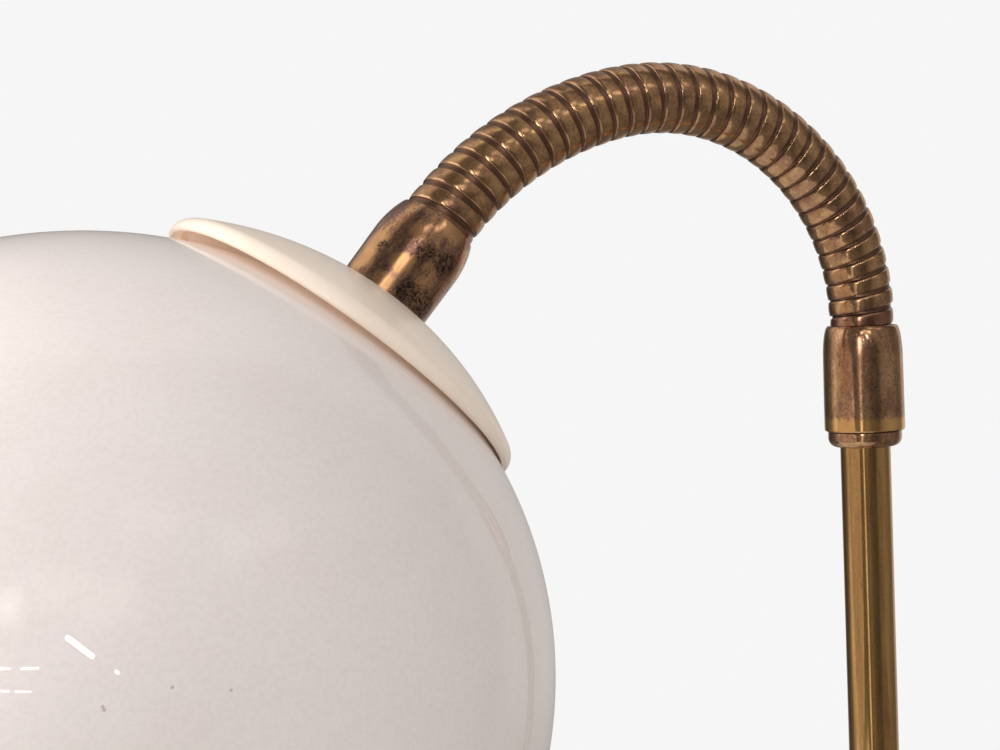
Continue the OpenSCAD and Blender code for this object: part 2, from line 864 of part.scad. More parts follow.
// Brass barrel that grips the gooseneck above and the stem below.
module lower_ferrule() {
    l = lower_ferrule_l;
    base_r = lower_ferrule_d / 2;
    top_r = base_r - 0.1;
    top_h = l - lower_ferrule_drop;
    shoulder_h = 8;
    lip_r = neck_socket_r + 0.15;
    color(AGED_BRASS)
        translate([stem_x, 0, neck_start_z - l])
            rotate_extrude()
                polygon(concat(
                    [
                        [stem_r, 0],
                        [base_r - 0.4, 0]
                    ],
                    arc(base_r - 0.5, 0.5, 0.5, -60, 0, 3),
                    [for (i = [0 : 6])
                        let (t = i / 6)
                        [base_r + (top_r - base_r) * t * t, 1 + (top_h - shoulder_h - 1) * t]
                    ],
                    [for (i = [1 : 9])
                        let (a = 90 * i / 9)
                        [lip_r + (top_r - lip_r) * cos(a), top_h - shoulder_h + shoulder_h * sin(a)]
                    ],
                    [
                        [neck_socket_r, top_h],
                        [neck_socket_r, l - neck_socket_l],
                        [cable_hole_d / 2, l - neck_socket_l],
                        [cable_hole_d / 2, l - neck_socket_l - ferrule_web],
                        [stem_r, l - neck_socket_l - ferrule_web]
                    ]
                ));
}

// A run of the wound strip between two places counted in turns.
module strip_run(from_turn, to_turn) {
    end_gap = strip_end_gap / 360;
    steps = round((to_turn - from_turn) * turn_steps);
    color(AGED_BRASS)
        skin([
            for (i = [0 : steps])
                strip_ring(
                    i == 0 ? from_turn + end_gap :
                    i == steps ? to_turn - end_gap :
                    from_turn + i / turn_steps
                )
        ]);
}

// The gooseneck's lowest turns, gripped inside the lower ferrule.
module neck_end_lower() {
    strip_run(joint_turn - TURNS_PER_LINK + 0.1, joint_turn);
}

// One link of the gooseneck, two turns of the strip, counted from the lower ferrule.
module neck_link(i) {
    strip_run(joint_turn + (i - 1) * TURNS_PER_LINK, joint_turn + i * TURNS_PER_LINK);
}

// The gooseneck's uppermost turns, gripped inside the upper ferrule.
module neck_end_upper() {
    strip_run(neck_turns - joint_turn, neck_turns + joint_turn + 0.6);
}

// Brass barrel between the gooseneck and the cap, threaded on to the nipple.
module upper_ferrule() {
    l = upper_ferrule_l;
    widest_r = upper_ferrule_d / 2;
    widest_h = 8;
    lip_r = neck_socket_r + 0.35;
    flare_r = ((widest_r - lip_r) * (widest_r - lip_r) + widest_h * widest_h) / (2 * (widest_r - lip_r));
    color(AGED_BRASS)
        on_head()
            rotate_extrude()
                polygon(concat(
                    [[neck_socket_r, 0]],
                    arc(widest_r - flare_r, widest_h, flare_r, -asin(widest_h / flare_r), 0),
                    [
                        [widest_r - 0.2, l],
                        [nipple_r, l],
                        [nipple_r, neck_socket_l],
                        [neck_socket_r, neck_socket_l]
                    ]
                ));
}

// Places of the cap's dome and of the turn into its rim, on the head's axis.
cap_dome_h = axis_centre(cap_seat_r, cap_top_h, cap_r, cap_rim_h - cap_edge_h);
cap_dome_r = norm([cap_seat_r, cap_dome_h - cap_top_h]);
cap_lining_r = cap_dome_r - cap_wall;
cap_shoulder_at_r = cap_r - cap_shoulder_r;
cap_shoulder_at_h = cap_dome_h
    - sqrt((cap_dome_r - cap_shoulder_r) * (cap_dome_r - cap_shoulder_r) - cap_shoulder_at_r * cap_shoulder_at_r);
cap_shoulder_angle = -acos(cap_shoulder_at_r / (cap_dome_r - cap_shoulder_r));

// Spun cream cap, domed and turned down into a folded rim, which stands just clear of the globe.
module shade_cap() {
    inner_r = cap_r - cap_rim_t;
    color(CREAM)
        on_head()
            rotate_extrude()
                polygon(concat(
                    [[nipple_hole_r, cap_top_h]],
                    arc(0, cap_dome_h, cap_dome_r, -acos(cap_seat_r / cap_dome_r), cap_shoulder_angle, 16),
                    arc(cap_shoulder_at_r, cap_shoulder_at_h, cap_shoulder_r, cap_shoulder_angle, 0, 6),
                    arc(cap_edge_at_r, cap_edge_at_h, cap_edge_r, 0, 90, 4),
                    [
                        [inner_r + 0.3, cap_rim_h - 1.1],
                        [inner_r, cap_rim_h - 1.5]
                    ],
                    arc(
                        0, cap_dome_h, cap_lining_r,
                        -acos(inner_r / cap_lining_r), -acos((cap_seat_r - 1) / cap_lining_r), 14
                    ),
                    [[nipple_hole_r, cap_top_h + cap_wall]]
                ));
}

// Spacer that carries the cap over the top of the globe.
module cap_spacer() {
    color(BRASS)
        on_head()
            translate([0, 0, cap_top_h + cap_wall])
                difference() {
                    cylinder(d = spacer_d, h = globe_seat_h - cap_top_h - cap_wall);
                    translate([0, 0, -1])
                        cylinder(r = nipple_hole_r, h = globe_seat_h);
                }
}

// Spun globe with a flat seat at the top and a rolled rim round its open mouth.
module shade_globe() {
    inner_r = globe_r - globe_wall;
    seat_inner_r = sqrt(inner_r * inner_r - (globe_h - globe_inner_h) * (globe_h - globe_inner_h));
    mid_r = globe_r - globe_wall / 2;
    color(LACQUER_WHITE)
        on_head()
            rotate_extrude() {
                intersection() {
                    translate([0, globe_h])
                        difference() {
                            circle(r = globe_r, $fn = 240);
                            circle(r = inner_r, $fn = 240);
                        }
                    translate([seat_inner_r, globe_seat_h])
                        square([globe_r, mouth_h - globe_seat_h]);
                }
                translate([nipple_hole_r, globe_seat_h])
                    square([seat_inner_r - nipple_hole_r, globe_wall]);
                translate([mid_r * sin(mouth_half_angle), globe_h + mid_r * cos(mouth_half_angle)])
                    circle(r = mouth_bead_r, $fn = 48);
            }
}

// Washer that clamps the globe's seat from inside.
module shade_washer() {
    color(STEEL)
        on_head()
            translate([0, 0, globe_inner_h])
                difference() {
                    cylinder(r = shade_washer_r, h = shade_washer_t);
                    translate([0, 0, -1])
                        cylinder(r = nipple_hole_r, h = shade_washer_t + 2);
                }
}

// Threaded tube that holds the ferrule, cap, globe and lamp holder together.
module nipple() {
    color(STEEL)
        on_head()
            translate([0, 0, nipple_start_h])
                difference() {
                    cylinder(r = nipple_r, h = nipple_end_h - nipple_start_h);
                    translate([0, 0, -1])
                        cylinder(d = nipple_bore_d, h = nipple_end_h - nipple_start_h + 2);
                }
}

// Hexagon nut under the shade washer.
module nipple_nut() {
    color(STEEL)
        on_head()
            translate([0, 0, nut_h])
                difference() {
                    cylinder(d = nut_flats / cos(30), h = nut_t, $fn = 6);
                    translate([0, 0, -1])
                        cylinder(r = nipple_r, h = nut_t + 2);
                }
}

// Domed top of the lamp holder, threaded on to the nipple.
module holder_dome() {
    corner_r = 7;
    color(CREAM)
        on_head()
            translate([0, 0, holder_h])
                rotate_extrude()
                    polygon(concat(
                        [[nipple_r, 0]],
                        arc(holder_r - corner_r, corner_r, corner_r, -90, 0),
                        [[holder_r, holder_dome_h], [holder_r - holder_wall, holder_dome_h]],
                        arc(holder_r - corner_r, corner_r + holder_floor_t - holder_wall,
                            corner_r - holder_wall, 0, -90, 6),
                        [[nipple_r, holder_floor_t]]
                    ));
}

// Skirt of the lamp holder, with a turned-in rim.
module holder_skirt() {
    rim_t = 2;
    color(CREAM)
        on_head()
            translate([0, 0, skirt_h])
                rotate_extrude()
                    polygon(concat(
                        [
                            [holder_r - holder_wall, 0],
                            [holder_r, 0],
                            [holder_r - 1, holder_skirt_l - 1]
                        ],
                        arc(holder_r - 2, holder_skirt_l - 1, 1, 0, 90, 4),
                        [
                            [shell_r + part_gap, holder_skirt_l],
                            [shell_r + part_gap, holder_skirt_l - rim_t],
                            [holder_r - holder_wall - 1, holder_skirt_l - rim_t]
                        ]
                    ));
}

// Ceramic insert that carries the contact and the screw shell.
module holder_insert() {
    color(CERAMIC)
        on_head()
            translate([0, 0, insert_h])
                difference() {
                    cylinder(r = insert_r - 0.4, h = insert_t);
                    for (side = [-1, 1])
                        translate([side * 9, 0, -1])
                            cylinder(d = 3.2, h = insert_t + 2);
                }
}

// Bent strip that touches the bulb's contact.
module holder_contact() {
    color(BRASS)
        on_head()
            translate([0, 0, shell_h]) {
                translate([-contact_w, -contact_w / 2, 0])
                    cube([contact_w + 3, contact_w, contact_t]);
                translate([3 - contact_t, -contact_w / 2, 0])
                    cube([contact_t, contact_w, contact_rise]);
                translate([-3, -contact_w / 2, contact_rise - contact_t])
                    cube([6, contact_w, contact_t]);
            }
}

// Brass shell that the bulb's base screws into.
module screw_shell() {
    color(BRASS)
        on_head()
            translate([0, 0, shell_h])
                difference() {
                    cylinder(r = shell_r, h = shell_l);
                    translate([0, 0, -1])
                        cylinder(r = shell_r - shell_wall, h = shell_l + 2);
                }
}

// Metal base of the bulb, with rolled turns.
module bulb_base() {
    groove_r = 0.9;
    color(STEEL)
        on_head()
            translate([0, 0, bulb_base_h])
                rotate_extrude()
                    difference() {
                        polygon([
                            [0, 0],
                            [bulb_contact_r + 1, 0],
                            [bulb_base_r, 4],
                            [bulb_base_r, bulb_base_l],
                            [0, bulb_base_l]
                        ]);
                        for (i = [0 : 3])
                            translate([bulb_base_r + 0.2, 6.5 + 3.6 * i])
                                circle(r = groove_r, $fn = 24);
                    }
}

// Solder contact at the bulb's tip.
module bulb_contact() {
    color(BRASS)
        on_head()
            translate([0, 0, bulb_tip_h])
                cylinder(r1 = bulb_contact_r - 1.5, r2 = bulb_contact_r, h = bulb_contact_t);
}

// Outline of the bulb's glass, inset by the given wall.
module bulb_outline(inset) {
    neck_glass_r = bulb_base_r - 0.6;
    reach = bulb_centre_h - glass_h;
    // The neck's cone meets the ball where it is tangent to it.
    tilt = asin((bulb_r - neck_glass_r) / reach) * 0.9;
    translate([0, bulb_centre_h])
        circle(r = bulb_r - inset, $fn = 96);
    polygon([
        [0, glass_h + inset],
        [neck_glass_r - inset, glass_h + inset],
        [(bulb_r - inset) * cos(tilt), bulb_centre_h - (bulb_r - inset) * sin(tilt)],
        [0, bulb_centre_h]
    ]);
}

// Hollow opal glass of the bulb.
module bulb_glass() {
    color(OPAL)
        on_head()
            rotate_extrude()
                intersection() {
                    difference() {
                        bulb_outline(0);
                        bulb_outline(glass_wall);
                    }
                    translate([0, glass_h])
                        square([bulb_d, bulb_l]);
                }
}

jaw_upper();
jaw_lower();
pad_upper();
pad_lower();
sleeve_upper();
sleeve_lower();
pivot_pin();
clip_spring();
foot_housing();
housing_screws();
cord_bush();
switch_body();
switch_button();
lock_screw();
stem_tube();
stem_collar();
friction_washer();
ferrule_ring();
lower_ferrule();
neck_end_lower();
for (i = [1 : LINK_COUNT])
    neck_link(i);
neck_end_upper();
upper_ferrule();
shade_cap();
cap_spacer();
shade_globe();
shade_washer();
nipple();
nipple_nut();
holder_dome();
holder_skirt();
holder_insert();
holder_contact();
screw_shell();
bulb_base();
bulb_contact();
bulb_glass();
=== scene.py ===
"""Clip-on task lamp with a globe shade on a strip-wound gooseneck: its looks, light and camera.

Sizes are in millimetres until a piece is placed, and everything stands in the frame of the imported
model. The stem stands along +Z and the gooseneck leans over towards -X.
"""

import logging
from collections.abc import Iterator
from contextlib import contextmanager
from dataclasses import dataclass, field
from enum import Enum
from math import acos, asin, cos, degrees, hypot, pi, radians, sin, sqrt, tan

import bpy
import numpy as np
from mathutils import Matrix, Vector


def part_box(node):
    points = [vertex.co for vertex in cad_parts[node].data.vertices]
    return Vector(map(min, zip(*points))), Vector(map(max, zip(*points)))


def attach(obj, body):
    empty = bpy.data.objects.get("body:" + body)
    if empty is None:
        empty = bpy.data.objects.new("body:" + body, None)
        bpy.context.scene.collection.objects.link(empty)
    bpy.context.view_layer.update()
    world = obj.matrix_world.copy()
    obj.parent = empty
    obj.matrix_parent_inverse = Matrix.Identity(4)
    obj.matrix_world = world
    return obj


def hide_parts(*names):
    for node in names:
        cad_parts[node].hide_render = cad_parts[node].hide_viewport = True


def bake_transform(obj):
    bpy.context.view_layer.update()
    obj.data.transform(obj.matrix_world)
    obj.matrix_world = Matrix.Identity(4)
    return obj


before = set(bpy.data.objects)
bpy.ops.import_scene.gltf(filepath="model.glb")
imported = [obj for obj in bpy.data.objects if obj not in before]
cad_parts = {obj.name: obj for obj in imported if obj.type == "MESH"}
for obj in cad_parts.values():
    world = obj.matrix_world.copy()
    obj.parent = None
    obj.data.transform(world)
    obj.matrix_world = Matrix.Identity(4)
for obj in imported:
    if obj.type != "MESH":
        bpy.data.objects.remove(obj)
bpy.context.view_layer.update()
MM = 0.001
log = logging.getLogger("task_lamp")

Piece = bpy.types.Object
Socket = bpy.types.NodeSocket
Tree = bpy.types.NodeTree
Point = tuple[float, float]
Colour = tuple[float, float, float]
Place = tuple[float, float, float, float]


# Modelling helpers


def deselect_all() -> None:
    """Clears the selection, so that an operator acts only on what is picked next."""
    if bpy.context.mode != "OBJECT":
        bpy.ops.object.mode_set(mode="OBJECT")
    bpy.ops.object.select_all(action="DESELECT")


def pick(piece: Piece) -> None:
    """Selects one piece alone and makes it active.

    Args:
        piece: The piece.
    """
    deselect_all()
    piece.select_set(True)
    bpy.context.view_layer.objects.active = piece


@contextmanager
def editing(kind: str = "VERT", action: str = "SELECT") -> Iterator[None]:
    """Opens the active piece in edit mode for a while.

    Args:
        kind: What is selected there: VERT, EDGE or FACE.
        action: Whether all of it is selected or deselected at first.

    Yields:
        Nothing; the piece is open meanwhile.
    """
    bpy.ops.object.mode_set(mode="EDIT")
    bpy.ops.mesh.select_mode(type=kind)
    bpy.ops.mesh.select_all(action=action)
    yield
    bpy.ops.object.mode_set(mode="OBJECT")


def arc(x: float, y: float, r: float, start: float, end: float, steps: int = 10) -> list[Point]:
    """Returns points on an arc about (x, y) between two angles in degrees, with both ends."""
    turns = [radians(start + (end - start) * i / steps) for i in range(steps + 1)]
    return [(x + r * cos(a), y + r * sin(a)) for a in turns]


def drawn_outline(name: str, points: list[Point], closed: bool) -> Piece:
    """Draws a line in the XZ plane by extruding one vertex from point to point.

    Args:
        name: Name of the new piece.
        points: Radius and height of each point, in millimetres.
        closed: Whether the last point is joined to the first.

    Returns:
        The piece that holds the line.
    """
    deselect_all()
    bpy.ops.mesh.primitive_plane_add(size=0.001, location=(0, 0, 0))
    piece = bpy.context.object
    piece.name = piece.data.name = name
    places = [Vector((r, 0, h)) * MM for r, h in points]
    with editing():
        bpy.ops.mesh.merge(type="CENTER")
        bpy.ops.transform.translate(value=places[0])
        for at, to in zip(places, places[1:]):
            bpy.ops.mesh.extrude_vertices_move(TRANSFORM_OT_translate={"value": to - at})
    if closed:
        last = len(piece.data.vertices) - 1
        for vertex in piece.data.vertices:
            vertex.select = vertex.index in (0, last)
        bpy.ops.object.mode_set(mode="EDIT")
        bpy.ops.mesh.edge_face_add()
        bpy.ops.object.mode_set(mode="OBJECT")
    return piece


def turned(name: str, points: list[Point], steps: int = 96, smooth: float = 32) -> Piece:
    """Turns an outline about the Z axis, as on a lathe.

    Args:
        name: Name of the new piece.
        points: Outline as radius and height, in millimetres. It is closed unless it ends on the axis.
        steps: Number of facets round the piece.
        smooth: Angle in degrees up to which edges are shaded smooth.

    Returns:
        The turned piece, with its poles closed and its faces pointing outwards.
    """
    on_axis = points[0][0] == 0 and points[-1][0] == 0
    piece = drawn_outline(name, points, not on_axis)
    with editing():
        bpy.ops.mesh.spin(steps=steps, angle=2 * pi, center=(0, 0, 0), axis=(0, 0, 1))
        bpy.ops.mesh.select_all(action="SELECT")
        bpy.ops.mesh.remove_doubles(threshold=0.000002)
        bpy.ops.mesh.normals_make_consistent(inside=False)
    pick(piece)
    bpy.ops.object.shade_smooth_by_angle(angle=radians(smooth))
    return piece


def placed(piece: Piece, matrix: Matrix) -> Piece:
    """Moves a piece by a matrix and puts its place into its mesh.

    Args:
        piece: The piece.
        matrix: Where it goes.

    Returns:
        The same piece.
    """
    pick(piece)
    piece.matrix_world = matrix @ piece.matrix_world
    bpy.ops.object.transform_apply(location=True, rotation=True, scale=True)
    return piece


def raised(x: float, height: float) -> Matrix:
    """Returns the place over a point of the X axis, in millimetres."""
    return Matrix.Translation((x * MM, 0, height * MM))


def copied(source: Piece, name: str) -> Piece:
    """Copies a piece under a new name, with a mesh of its own.

    Args:
        source: The piece to copy.
        name: Name of the copy.

    Returns:
        The copy.
    """
    piece = bpy.data.objects.new(name, source.data.copy())
    piece.data.name = name
    bpy.context.scene.collection.objects.link(piece)
    return piece


def softened(name: str, node: str, width: float = 0.3, angle: float = 28, steps: int = 3) -> Piece:
    """Copies a CAD node and rounds its edges.

    Args:
        name: Name of the new piece.
        node: CAD node to copy, which the piece replaces.
        width: Width of the rounding in millimetres.
        angle: Angle in degrees above which an edge is rounded.
        steps: Number of facets across each rounding.

    Returns:
        The rounded piece.
    """
    piece = copied(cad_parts[node], name)
    piece.data.materials.clear()
    pick(piece)
    with editing():
        bpy.ops.mesh.remove_doubles(threshold=0.000005)
        bpy.ops.mesh.customdata_custom_splitnormals_clear()
        bpy.ops.mesh.dissolve_limited(angle_limit=radians(1.5))
    rounding = piece.modifiers.new("rounding", "BEVEL")
    rounding.width = width * MM
    rounding.segments = steps
    rounding.limit_method = "ANGLE"
    rounding.angle_limit = radians(angle)
    bpy.ops.object.modifier_apply(modifier=rounding.name)
    bpy.ops.object.shade_smooth_by_angle(angle=radians(35))
    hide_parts(node)
    return piece


def dressed(piece: Piece, body: str, slot: str, finish: "Finish", *nodes: str) -> None:
    """Gives a piece its finish and fixes it to a body of the lamp.

    Args:
        piece: The finished mesh.
        body: CAD body that it moves with.
        slot: Material slot of the record; not used.
        finish: The finish.
        nodes: CAD nodes that it stands for.
    """
    piece.data.materials.clear()
    piece.data.materials.append(finish.material())
    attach(piece, body)
    if nodes:
        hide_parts(*nodes)
    log.info("%s: %d faces, on %s", piece.name, len(piece.data.polygons), body)


def fittings(*rows: tuple[str, str, str, str, "Finish", float]) -> None:
    """Rounds and dresses pieces, given as name, CAD node, body, slot, finish and rounding width."""
    for name, node, body, slot, finish, width in rows:
        dressed(softened(name, node, width), body, slot, finish)


def points_of(piece: Piece, key: str = "co") -> np.ndarray:
    """Reads the points of a mesh.

    Args:
        piece: The piece.
        key: What is read: co for places or normal for normals.

    Returns:
        One row for each point.
    """
    rows = np.empty(len(piece.data.vertices) * 3)
    piece.data.vertices.foreach_get(key, rows)
    return rows.reshape(-1, 3)


def mark(piece: Piece, key: str, values: np.ndarray) -> None:
    """Writes one value for each point of a mesh, for its material to read."""
    attribute = piece.data.attributes.new(key, "FLOAT", "POINT")
    attribute.data.foreach_set("value", values.reshape(-1).astype(np.float32))


def tucked(piece: Piece, shade: "Shade") -> None:
    """Marks how deep each point lies in the crevice under the cap's rim, for a painted glow that stands in
    for the light bouncing between both.

    Args:
        piece: The globe or the cap, already in its place.
        shade: The shade that both belong to.
    """
    back = np.array(shade.head.inverted())
    local = (points_of(piece) @ back[:3, :3].T + back[:3, 3]) / MM
    away = np.hypot(local[:, 0], local[:, 1])
    rim = shade.cap_d / 2
    if piece.name == "cap":
        facing = points_of(piece, "normal") @ back[:3, :3].T
        inward = (facing * (local - np.array((0, 0, shade.globe_h)))).sum(axis=1) < 0
        depth = np.clip((rim - 0.9 - away) / 0.8, 0, 1) * inward
    else:
        to_globe = np.hypot(away, local[:, 2] - shade.globe_h) - shade.globe_d / 2
        depth = np.clip((rim + 3 - away) / 3, 0, 1) * np.clip((away - rim + 14) / 8, 0, 1)
        depth = depth * np.clip((to_globe + 0.5) / 0.3, 0, 1)
    # Painted bounce light: stronger towards the head's local +X side, which faces the key light.
    mark(piece, "tucked", depth * np.clip(0.55 + local[:, 0] / shade.cap_d, 0, 1))


# Shader helpers


class Value:
    """A value or colour in a shader, with which sums can be written."""

    def __init__(self, graph: "Graph", socket: Socket) -> None:
        """Takes the graph and the socket that puts the value out."""
        self.graph = graph
        self.socket = socket

    def __add__(self, other: object) -> "Value":
        """Adds another value or a number."""
        return self.graph.math("ADD", self, other)

    def __sub__(self, other: object) -> "Value":
        """Subtracts another value or a number."""
        return self.graph.math("SUBTRACT", self, other)

    def __rsub__(self, other: object) -> "Value":
        """Subtracts this value from a number."""
        return self.graph.math("SUBTRACT", other, self)

    def __mul__(self, other: object) -> "Value":
        """Multiplies by another value or a number."""
        return self.graph.math("MULTIPLY", self, other)

    def __abs__(self) -> "Value":
        """Drops the sign."""
        return self.graph.math("ABSOLUTE", self)

    __radd__ = __add__
    __rmul__ = __mul__

    def span(self, low: object, high: object, a: float = 0.0, b: float = 1.0) -> "Value":
        """Spreads the values from low to high smoothly over a to b."""
        ends = {0: self, 1: low, 2: high, 3: a, 4: b}
        return self.graph.value("MapRange", ends, interpolation_type="SMOOTHSTEP")


class Graph:
    """Adds nodes to one node tree and joins them."""

    def __init__(self, tree: Tree) -> None:
        """Takes the tree that the nodes go into."""
        self.tree = tree

    def feed(self, socket: Socket, source: object) -> None:
        """Joins a socket to a source, or sets it to a number, a vector or a colour.

        Args:
            socket: The socket that is fed.
            source: A value, another node's socket, a number or a tuple.
        """
        if isinstance(source, Value):
            source = source.socket
        if isinstance(source, Socket):
            self.tree.links.new(source, socket)
        else:
            coloured = isinstance(source, tuple) and socket.type == "RGBA"
            socket.default_value = (*source, 1.0) if coloured else source

    def add(self, kind: str, inputs: dict | None = None, **settings: object) -> bpy.types.Node:
        """Adds a node, sets its properties and feeds its inputs.

        Args:
            kind: Kind of shader node.
            inputs: What each input is fed, by its name or number.
            settings: The node's properties.

        Returns:
            The node.
        """
        node = self.tree.nodes.new("ShaderNode" + kind)
        for key, setting in settings.items():
            setattr(node, key, setting)
        for key, source in (inputs or {}).items():
            self.feed(node.inputs[key], source)
        return node

    def value(self, kind: str, inputs: dict, output: int | str = 0, **settings: object) -> Value:
        """Adds a node as add does, and returns one of its outputs."""
        return Value(self, self.add(kind, inputs, **settings).outputs[output])

    def math(self, operation: str, a: object, b: object = 0.0) -> Value:
        """Works out one sum on two values."""
        return self.value("Math", {0: a, 1: b}, operation=operation)

    def mix(self, mask: object, a: object, b: object) -> Value:
        """Mixes two colours by a mask."""
        return self.value("Mix", {"Factor": mask, 6: a, 7: b}, 2, data_type="RGBA")

    def attribute(self, key: str) -> Value:
        """Reads a value that is written on the mesh."""
        return self.value("Attribute", {}, "Fac", attribute_name=key)

    def moved(self, vector: Value, scale: tuple[float, float, float], turn: float = 0.0) -> Value:
        """Stretches coordinates.

        Args:
            vector: The coordinates.
            scale: How often they are repeated along each axis.
            turn: Angle in degrees that they are turned about Y before.

        Returns:
            The new coordinates.
        """
        if turn:
            vector = self.value("Mapping", {"Vector": vector, "Rotation": (0, radians(turn), 0)})
        return self.value("Mapping", {"Vector": vector, "Scale": scale})

    def noise(
        self, vector: Value, scale: object, detail: float = 4.0, roughness: float = 0.55, twist: float = 0.0
    ) -> Value:
        """Adds a noise pattern, twisted as much as is asked, and gives its value."""
        inputs = {"Vector": vector, "Scale": scale, "Detail": detail, "Roughness": roughness}
        return self.value("TexNoise", inputs | {"Distortion": twist})

    def cells(self, vector: Value, scale: Value, feature: str = "F1") -> bpy.types.Node:
        """Adds a pattern of cells."""
        return self.add("TexVoronoi", {"Vector": vector, "Scale": scale}, feature=feature)

    def bump(self, height: Value, distance: float) -> Value:
        """Turns a height into a normal; distance is in millimetres."""
        return self.value("Bump", {"Strength": 1.0, "Distance": distance * MM, "Height": height})


class Group(Graph):
    """The graph of a shared effect."""

    def __init__(self, name: str, **inputs: float) -> None:
        """Starts the group with a Vector input and its value inputs.

        Args:
            name: Name of the group.
            inputs: Default of each value input.
        """
        super().__init__(bpy.data.node_groups.new(name, "ShaderNodeTree"))
        self.sockets("INPUT", "NodeSocketVector", "vector")
        self.sockets("INPUT", "NodeSocketFloat", *inputs)
        for socket, default in zip(list(self.tree.interface.items_tree)[1:], inputs.values()):
            socket.default_value = default
        start = self.tree.nodes.new("NodeGroupInput")
        self.vector, *self.inputs = (Value(self, socket) for socket in start.outputs if socket.name)

    def sockets(self, side: str, kind: str, *keys: str) -> None:
        """Adds inputs or outputs to the group."""
        for key in keys:
            self.tree.interface.new_socket(key.capitalize(), in_out=side, socket_type=kind)

    def put_out(self, **outputs: Value) -> Tree:
        """Adds the group's outputs.

        Args:
            outputs: What each of them is fed.

        Returns:
            The group's tree.
        """
        self.sockets("OUTPUT", "NodeSocketFloat", *outputs)
        end = self.tree.nodes.new("NodeGroupOutput")
        for key, source in outputs.items():
            self.feed(end.inputs[key.capitalize()], source)
        return self.tree


class Effect(Enum):
    """Effects that several finishes share."""

    TARNISH = "tarnish"
    SPECKS = "specks"
    SCRATCHES = "scratches"
    GRAIN = "grain"
    CRACKS = "cracks"


class Effects:
    """Builds each shared effect once, as a node group."""

    built: dict[Effect, Tree] = {}

    @classmethod
    def get(cls, effect: Effect) -> Tree:
        """Finds an effect's node group, or builds it.

        Args:
            effect: The effect.

        Returns:
            The effect's node tree.
        """
        if effect not in cls.built:
            cls.built[effect] = getattr(cls, effect.value)()
        return cls.built[effect]

    @staticmethod
    def tarnish() -> Tree:
        """Cloudy tarnish at two sizes, with fine dark pits in it.

        Returns:
            The effect's node tree.
        """
        group = Group("tarnish", scale=120.0, cover=0.5, pits=0.5)
        scale, cover, pits = group.inputs
        large = group.noise(group.vector, scale, 5.0, 0.6, 0.6)
        fine = group.noise(group.vector, scale * 5.3, 4.0, 0.65, 0.3)
        edge = 0.74 - cover * 0.48
        cloud = (large * 0.68 + fine * 0.32).span(edge - 0.10, edge + 0.10)
        cells = group.cells(group.vector, scale * 9.0)
        depth = pits * (fine - 0.3) - Value(group, cells.outputs["Distance"])
        return group.put_out(cloud=cloud, fine=fine, pit=depth.span(-0.05, 0.06))

    @staticmethod
    def specks() -> Tree:
        """Sparse round specks of dust or chips, each of its own size.

        Returns:
            The effect's node tree.
        """
        group = Group("specks", scale=60.0, size=0.06, share=0.2)
        scale, size, share = group.inputs
        cells = group.cells(group.vector, scale)
        parts = group.add("SeparateColor", {0: cells.outputs["Color"]})
        chosen, larger = (Value(group, socket) for socket in parts.outputs[:2])
        inside = (size * (larger + 0.3) - Value(group, cells.outputs["Distance"])).span(-0.01, 0.02)
        return group.put_out(mask=inside * group.math("LESS_THAN", chosen, share))

    @staticmethod
    def scratches() -> Tree:
        """Fine hairline marks that run mostly one way and break off.

        Returns:
            The effect's node tree.
        """
        group = Group("scratches", scale=300.0, amount=0.5)
        scale, amount = group.inputs
        thin = abs(group.noise(group.vector, scale, 2.0, 0.5, 0.2) - 0.5).span(0.0, 0.018, 1.0, 0.0)
        breaks = group.noise(group.vector, scale * 0.31, 2.0).span(0.5, 0.62)
        return group.put_out(mask=thin * breaks * amount)

    @staticmethod
    def grain() -> Tree:
        """Fine even grain, with a soft unevenness under it.

        Returns:
            The effect's node tree.
        """
        group = Group("grain", scale=900.0)
        (scale,) = group.inputs
        fine = group.noise(group.vector, scale, 3.0, 0.6)
        return group.put_out(fine=fine, soft=group.noise(group.vector, scale * 0.07, 2.0))

    @staticmethod
    def cracks() -> Tree:
        """Broken dark lines between cells, crooked and of uneven width.

        Returns:
            The effect's node tree.
        """
        group = Group("cracks", scale=350.0, share=0.5)
        scale, share = group.inputs
        bends = group.value("TexNoise", {"Vector": group.vector, "Scale": scale * 2.6}, "Color")
        offset = group.value("VectorMath", {0: bends, "Scale": 0.0022}, operation="SCALE")
        crooked = group.value("VectorMath", {0: group.vector, 1: offset}, operation="ADD")
        cells = group.cells(crooked, scale, "DISTANCE_TO_EDGE")
        breaks = group.noise(group.vector, scale * 0.9, 3.0)
        kept = (breaks + share * 0.3).span(0.52, 0.66)
        return group.put_out(mask=Value(group, cells.outputs["Distance"]).span(0.03, 0.13, 1.0, 0.0) * kept)


